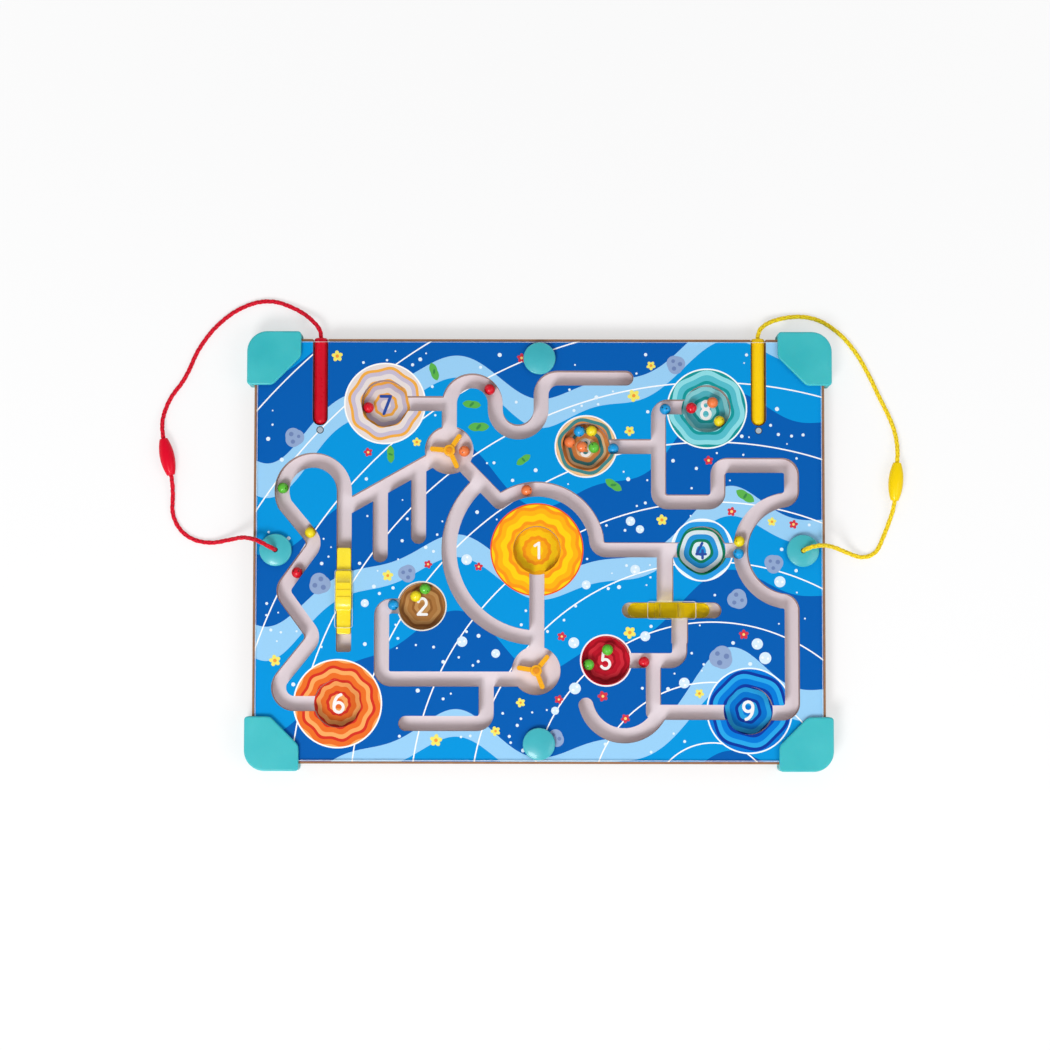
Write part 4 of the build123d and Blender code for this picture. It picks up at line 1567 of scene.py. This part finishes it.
# Ends of the cords, as in the CAD source: the sockets' bottoms and the tops of the knots
CORD_ROUTES: dict[str, tuple[Point, ...]] = {
    "red_cord_upper": (
        (-0.150, 0.1446, 0.010), (-0.150, 0.1498, 0.010), (-0.1532, 0.1556, 0.0082),
        (-0.1606, 0.1628, 0.0044), (-0.1718, 0.1694, 0.0021), (-0.187, 0.174, 0.0016),
        (-0.205, 0.1696, 0.0016), (-0.2224, 0.1572, 0.0016), (-0.236, 0.1394, 0.0016),
        (-0.2438, 0.1195, 0.0016), (-0.2543, 0.1064, 0.0017), (-0.2594, 0.0936, 0.0024),
        (-0.25971, 0.0825, 0.0053), (-0.25818, 0.07553, 0.0053),
    ),
    "red_cord_lower": (
        (-0.25332, 0.05347, 0.0053), (-0.2519, 0.047, 0.0053), (-0.252, 0.037, 0.0026),
        (-0.2526, 0.0254, 0.0016), (-0.2475, 0.0144, 0.0016), (-0.2374, 0.007, 0.0016),
        (-0.2245, 0.0052, 0.0018), (-0.2125, 0.0074, 0.0064), (-0.202, 0.009, 0.015),
        (-0.1926, 0.0068, 0.0242), (-0.1843, 0.0026, 0.0276), (-0.1796, 0.0, 0.0224),
        (-0.1796, 0.0, 0.015),
    ),
    "yellow_cord_upper": (
        (0.150, 0.1446, 0.010), (0.150, 0.1498, 0.010), (0.1534, 0.1552, 0.0081),
        (0.1616, 0.1598, 0.0043), (0.1744, 0.163, 0.002), (0.1902, 0.1622, 0.0016),
        (0.205, 0.1536, 0.0016), (0.217, 0.1408, 0.0016), (0.2268, 0.124, 0.0016),
        (0.2352, 0.1056, 0.0016), (0.2428, 0.0906, 0.0017), (0.2464, 0.0774, 0.0027),
        (0.2465, 0.0665, 0.0053), (0.24599, 0.0598, 0.0053),
    ),
    "yellow_cord_lower": (
        (0.24421, 0.0368, 0.0053), (0.2437, 0.0301, 0.0053), (0.2406, 0.0206, 0.0024),
        (0.2364, 0.0092, 0.0016), (0.2316, -0.001, 0.0016), (0.2224, -0.0044, 0.0018),
        (0.2116, -0.001, 0.0066), (0.2016, 0.0026, 0.0154), (0.1922, 0.0038, 0.0244),
        (0.1841, 0.0022, 0.0276), (0.1796, 0.0, 0.0224), (0.1796, 0.0, 0.015),
    ),
}


@dataclass
class WandSet:
    """One magnet wand with its cap, braided cord, clasp and knot."""

    colour: WandColour
    plastic: Moulded
    clasp: Moulded
    yarn: BraidedYarn
    magnet: Material

    def build(self) -> None:
        """Dresses the CAD pieces and lays both stretches of cord."""
        name = self.colour.value
        yarn = self.yarn.material()
        dress(self.plastic, f"{name}_wand", f"{name}_wand_cap")
        dress(self.clasp, f"{name}_clasp_upper", f"{name}_clasp_lower")
        dress(self.magnet, f"{name}_wand_magnet")
        dress(yarn, f"{name}_cord_knot")
        self.lay(f"{name}_cord_upper", yarn, "fitting", f"{name}_clasp_upper",
                 f"{name}_clasp_lower")
        self.lay(f"{name}_cord_lower", yarn, "knot", f"{name}_cord_knot")

    def lay(self, label: str, yarn: Material, far_end: str, *ends: str) -> None:
        """Lays one stretch of cord along its route.

        Args:
            label: The CAD node that the stretch replaces.
            yarn: Its material.
            far_end: What the stretch ends in.
            *ends: CAD nodes that are on the stretch; not used.
        """
        route = CORD_ROUTES[label]
        cord = BraidedCord(label + "_braid", route, yarn)
        mesh, path = cord.build()
        wand = f"{self.colour.value}_wand"
        is_tied = far_end == "knot"
        piece = add_piece(cord.label, mesh, "" if is_tied else wand)
        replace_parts(piece, label)
        if is_tied:
            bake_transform(piece)


@dataclass
class Boards:
    """The three layers of the board with their print."""

    printed: PrintedBoard
    backing: BackingBoard
    cover: ClearSheet
    cover_gap: float = 0.00012
    cover_bevel: float = 0.00045

    def lay_cover(self) -> None:
        """Lays the clear cover a hair above the print, with its upper edges broken."""
        low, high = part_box("clear_cover")
        middle = (low.z + high.z) / 2
        sheet = working_copy("clear_cover")
        for corner in sheet.verts:
            if corner.co.z < middle:
                corner.co.z = low.z + self.cover_gap
        rims = [
            edge for edge in sheet.edges
            if all(corner.co.z > middle for corner in edge.verts) and is_sharp(edge)
        ]
        bevel(sheet, rims, self.cover_bevel, segments=2)
        mesh = settle(sheet, "clear_cover_sheet", self.cover)
        piece = add_piece("clear_cover_sheet", mesh, BOARD_BODY)
        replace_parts(piece, "clear_cover")

    def build(self) -> None:
        """Dresses the layers and prints the numerals and the motifs."""
        dress(self.printed, "track_board", "track_island")
        dress(self.backing, "backing_board")
        self.lay_cover()
        Numerals().build()
        PrintedMotifs().build()


@dataclass
class Fittings:
    """Corner bumpers, knobs, screws and catches."""

    rubber: Moulded
    cap: Moulded
    zinc: Steel
    ground: TurnedPins

    def build(self) -> None:
        """Dresses the fittings."""
        corners = [f"{end}_{side}" for end in ("top", "bottom") for side in ("left", "right")]
        dress(self.rubber, *["corner_bumper_" + corner for corner in corners])
        dress(self.cap, "knob_top", "knob_bottom", "cord_knob_left", "cord_knob_right")
        dress(self.zinc, "knob_screws")
        dress(self.ground, "wand_catches")


@dataclass
class Movers:
    """Spinners with their pins, and sliding gates."""

    spinner: Moulded
    pin: Moulded
    slider: Moulded
    clear_slider: TintedClear
    moving_gap: float = 0.0003
    edge_radius: float = 0.0006
    level_tolerance: float = 0.00005

    def ease(self, node: str, finish: Finish) -> None:
        """Rounds the upper edges of a sliding bar, as its mould leaves them.

        Args:
            node: The bar's CAD node, which rides on a body of the same name.
            finish: The bar's look.
        """
        top = FACE_Z - self.moving_gap
        bar = working_copy(node)
        rims = [
            edge for edge in bar.edges
            if edge.is_convex and is_sharp(edge)
            and all(abs(corner.co.z - top) < self.level_tolerance for corner in edge.verts)
        ]
        bevel(bar, rims, self.edge_radius, segments=3)
        log.info("%s: %d edges rounded", node, len(rims))
        mesh = settle(bar, node + "_bar", finish)
        mesh.shade_smooth()
        mesh.set_sharp_from_angle(angle=SMOOTH_ANGLE)
        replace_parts(add_piece(mesh.name, mesh, node), node)

    def build(self) -> None:
        """Dresses the moving plastic pieces."""
        dress(self.spinner, "spinner_upper", "spinner_lower")
        dress(self.pin, "spinner_pins")
        self.ease("column_slider", self.slider)
        self.ease("cross_slider", self.clear_slider)


@dataclass
class Balls:
    """The enamelled balls, five of each colour."""

    paints: Iterable[tuple[str, Rgb, Rgb]]
    each: int = 5

    def build(self) -> None:
        """Dresses every ball, from its colour's name, its paint and the painted shade of its pits.
        """
        for name, colour, pit_shade in self.paints:
            balls = [f"ball_{name}_{index + 1}" for index in range(self.each)]
            dress(Enamel(name + "_enamel", colour, pit_shade), *balls)


@dataclass
class Studio:
    """Pale floor, soft lamps and the camera above the board."""

    floor_size: float = 8.0
    floor_colour: Rgb = (0.93, 0.93, 0.935)
    shade_to: float = 0.22
    white_from: float = 0.9
    near_glow: float = 0.55
    target: Point = (-0.0097, 0.0174, 0.016)
    distance: float = 1.700
    tilt: float = math.radians(3.4)
    roll: float = math.radians(0.1)
    image: int = 1050
    pixels_at_distance: float = 2492.0
    sensor: float = 36.0
    clip: tuple[float, float] = (0.01, 50.0)
    sky: float = 0.50
    mirrored_span: tuple[float, float] = (0.35, 0.85)
    mirrored_glow: tuple[float, float] = (0.9, 0.12)

    def floor(self) -> None:
        """Lays the floor, which is shaded near the board and fades to white."""
        half = self.floor_size / 2
        corners = [(-half, -half, 0.0), (half, -half, 0.0), (half, half, 0.0), (-half, half, 0.0)]
        mesh = bpy.data.meshes.new("floor")
        mesh.from_pydata(corners, [], [(0, 1, 2, 3)])
        paper = Surface("floor_paper")
        paper.set(Base_Color=self.floor_colour, Roughness=0.9, Specular_IOR_Level=0.1)
        glow = paper.node("ShaderNodeEmission", {"Strength": 1.0})
        length = paper.node("ShaderNodeVectorMath", {0: paper.vector}, operation="LENGTH")
        away = length.outputs["Value"]
        fade = paper.ramp(away, self.shade_to, self.white_from, self.near_glow, 1.0)
        share = paper.math("MULTIPLY", paper.seen()[1], fade)
        feeds = {0: share, 1: paper.shader.outputs[0], 2: glow.outputs[0]}
        mixed = paper.node("ShaderNodeMixShader", feeds)
        paper.feed(paper.tree.nodes["Material Output"].inputs["Surface"], mixed.outputs[0])
        mesh.materials.append(paper.material)
        link("floor", mesh)

    def lamp(self, name: str, place: Point, size: float, power: float) -> None:
        """Hangs a square lamp that points at the board.

        Args:
            name: The lamp's name.
            place: Where it hangs.
            size: Its side.
            power: Its power in watts.
        """
        light = bpy.data.lights.new(name, "AREA")
        light.size = size
        light.energy = power
        holder = link(name, light)
        holder.location = place
        holder.rotation_euler = (-Vector(place)).to_track_quat("-Z", "Y").to_euler()

    def world(self) -> None:
        """Lights the scene evenly, with white behind it."""
        world = bpy.data.worlds.new("studio")
        world.use_nodes = True
        graph = Graph(world.node_tree)
        rays, seen = graph.seen()
        upward = graph.split(graph.node("ShaderNodeTexCoord").outputs["Generated"])[2]
        mirrored = graph.ramp(upward, *self.mirrored_span, *self.mirrored_glow)
        glossy = graph.math("MULTIPLY", rays.outputs["Is Glossy Ray"],
                            graph.math("SUBTRACT", mirrored, self.sky))
        strength = graph.math("ADD", graph.math("MULTIPLY_ADD", seen, 1.0 - self.sky, self.sky),
                              glossy)
        background = world.node_tree.nodes["Background"]
        graph.feed(background.inputs["Color"], (1.0, 1.0, 1.0))
        graph.feed(background.inputs["Strength"], strength)
        bpy.context.scene.world = world

    def camera(self) -> None:
        """Sets the camera where the photograph was taken from."""
        camera = bpy.data.cameras.new("camera")
        camera.sensor_width = self.sensor
        camera.lens = camera.sensor_width * self.pixels_at_distance / self.image
        camera.clip_start, camera.clip_end = self.clip
        back = Vector((0.0, -math.sin(self.tilt), math.cos(self.tilt)))
        place = Vector(self.target) + self.distance * back
        turn = Matrix.Rotation(self.tilt, 4, "X") @ Matrix.Rotation(self.roll, 4, "Z")
        holder = link("camera", camera)
        holder.matrix_world = Matrix.Translation(place) @ turn
        bpy.context.scene.camera = holder

    def build(self) -> None:
        """Sets up the whole studio."""
        self.floor()
        self.world()
        self.lamp("key", (-0.55, -1.15, 1.7), size=0.7, power=26.0)
        self.lamp("fill", (1.2, -0.5, 1.5), size=1.0, power=7.0)
        self.camera()
        bpy.context.scene.view_settings.view_transform = "Standard"


def wand_plastics(name: str, wand: Sequence[Rgb], clasp: Sequence[Rgb]) -> tuple[Moulded, Moulded]:
    """Looks of one wand and its clasp.

    Args:
        name: The wand's colour.
        wand: Colour and shade of the wand.
        clasp: Colour and shade of the clasp.

    Returns:
        The finish of the wand and that of the clasp.
    """
    return (
        Moulded(name + "_wand_plastic", *wand, roughness=0.30, coat=0.12, gloss=0.2),
        Moulded(name + "_clasp_plastic", *clasp, roughness=0.34, coat=0.06, gloss=0.15),
    )


def main() -> None:
    """Builds and dresses every sub-assembly."""
    logging.basicConfig(level=logging.INFO, format="%(name)s: %(message)s")
    magnet = Steel("magnet_plating", srgb(175, 178, 182), roughness=0.28).material()
    Boards(
        printed=PrintedBoard(
            "printed_board", deep=srgb(0, 92, 176), middle=srgb(0, 148, 218),
            pale=srgb(152, 204, 240), track=srgb(190, 164, 158), cut_edge=srgb(140, 96, 72),
            board_edge=srgb(158, 116, 86),
        ),
        backing=BackingBoard("fibre_board", floor=srgb(236, 227, 234),
                             underside=srgb(126, 88, 62)),
        cover=ClearSheet("clear_cover_plastic", srgb(240, 246, 250), face_alpha=0.001,
                         glance_reflection_alpha=0.35, edge_highlight_alpha=0.72),
    ).build()
    Fittings(
        rubber=Moulded("corner_rubber", srgb(62, 192, 198), srgb(42, 182, 190),
                       roughness=0.40, grain=900.0, scatter=0.15),
        cap=Moulded("knob_plastic", srgb(66, 186, 196), srgb(54, 174, 186),
                    roughness=0.34, coat=0.3),
        zinc=Steel("zinc_plate", srgb(200, 200, 196), roughness=0.32),
        ground=TurnedPins("ground_steel", srgb(206, 220, 234), "wand_catches"),
    ).build()
    Movers(
        spinner=Moulded("spinner_plastic", srgb(252, 184, 12), srgb(246, 172, 8),
                        roughness=0.25, coat=0.4),
        pin=Moulded("pin_plastic", srgb(238, 150, 10), srgb(226, 138, 6),
                    roughness=0.30, coat=0.2),
        slider=Moulded("slider_plastic", srgb(254, 232, 54), srgb(251, 220, 30),
                       roughness=0.24, coat=0.4),
        clear_slider=TintedClear("tinted_yellow_plastic", srgb(234, 214, 16), roughness=0.04),
    ).build()
    Balls(
        (
            # Name, paint and painted shade of the pits, for each colour.
            ("red", srgb(230, 10, 40), srgb(70, 0, 8)),
            ("orange", srgb(252, 132, 70), srgb(96, 26, 10)),
            ("yellow", srgb(252, 232, 20), srgb(120, 96, 8)),
            ("green", srgb(96, 202, 56), srgb(16, 60, 12)),
            ("blue", srgb(0, 164, 236), srgb(0, 40, 84)),
        )
    ).build()
    WandSet(
        WandColour.RED,
        *wand_plastics("red", (srgb(218, 4, 38), srgb(206, 2, 32)),
                       (srgb(232, 0, 42), srgb(222, 0, 38))),
        BraidedYarn("red_yarn", srgb(255, 28, 62), shade=srgb(218, 2, 36), gap_shade=srgb(172, 0, 28)),
        magnet,
    ).build()
    WandSet(
        WandColour.YELLOW,
        *wand_plastics("yellow", (srgb(252, 210, 0), srgb(248, 202, 0)),
                       (srgb(252, 218, 0), srgb(250, 212, 0))),
        BraidedYarn("yellow_yarn", srgb(255, 242, 70), shade=srgb(250, 214, 12),
                    gap_shade=srgb(228, 186, 8)),
        magnet,
    ).build()
    Studio().build()


if __name__ == "__main__":
    main()
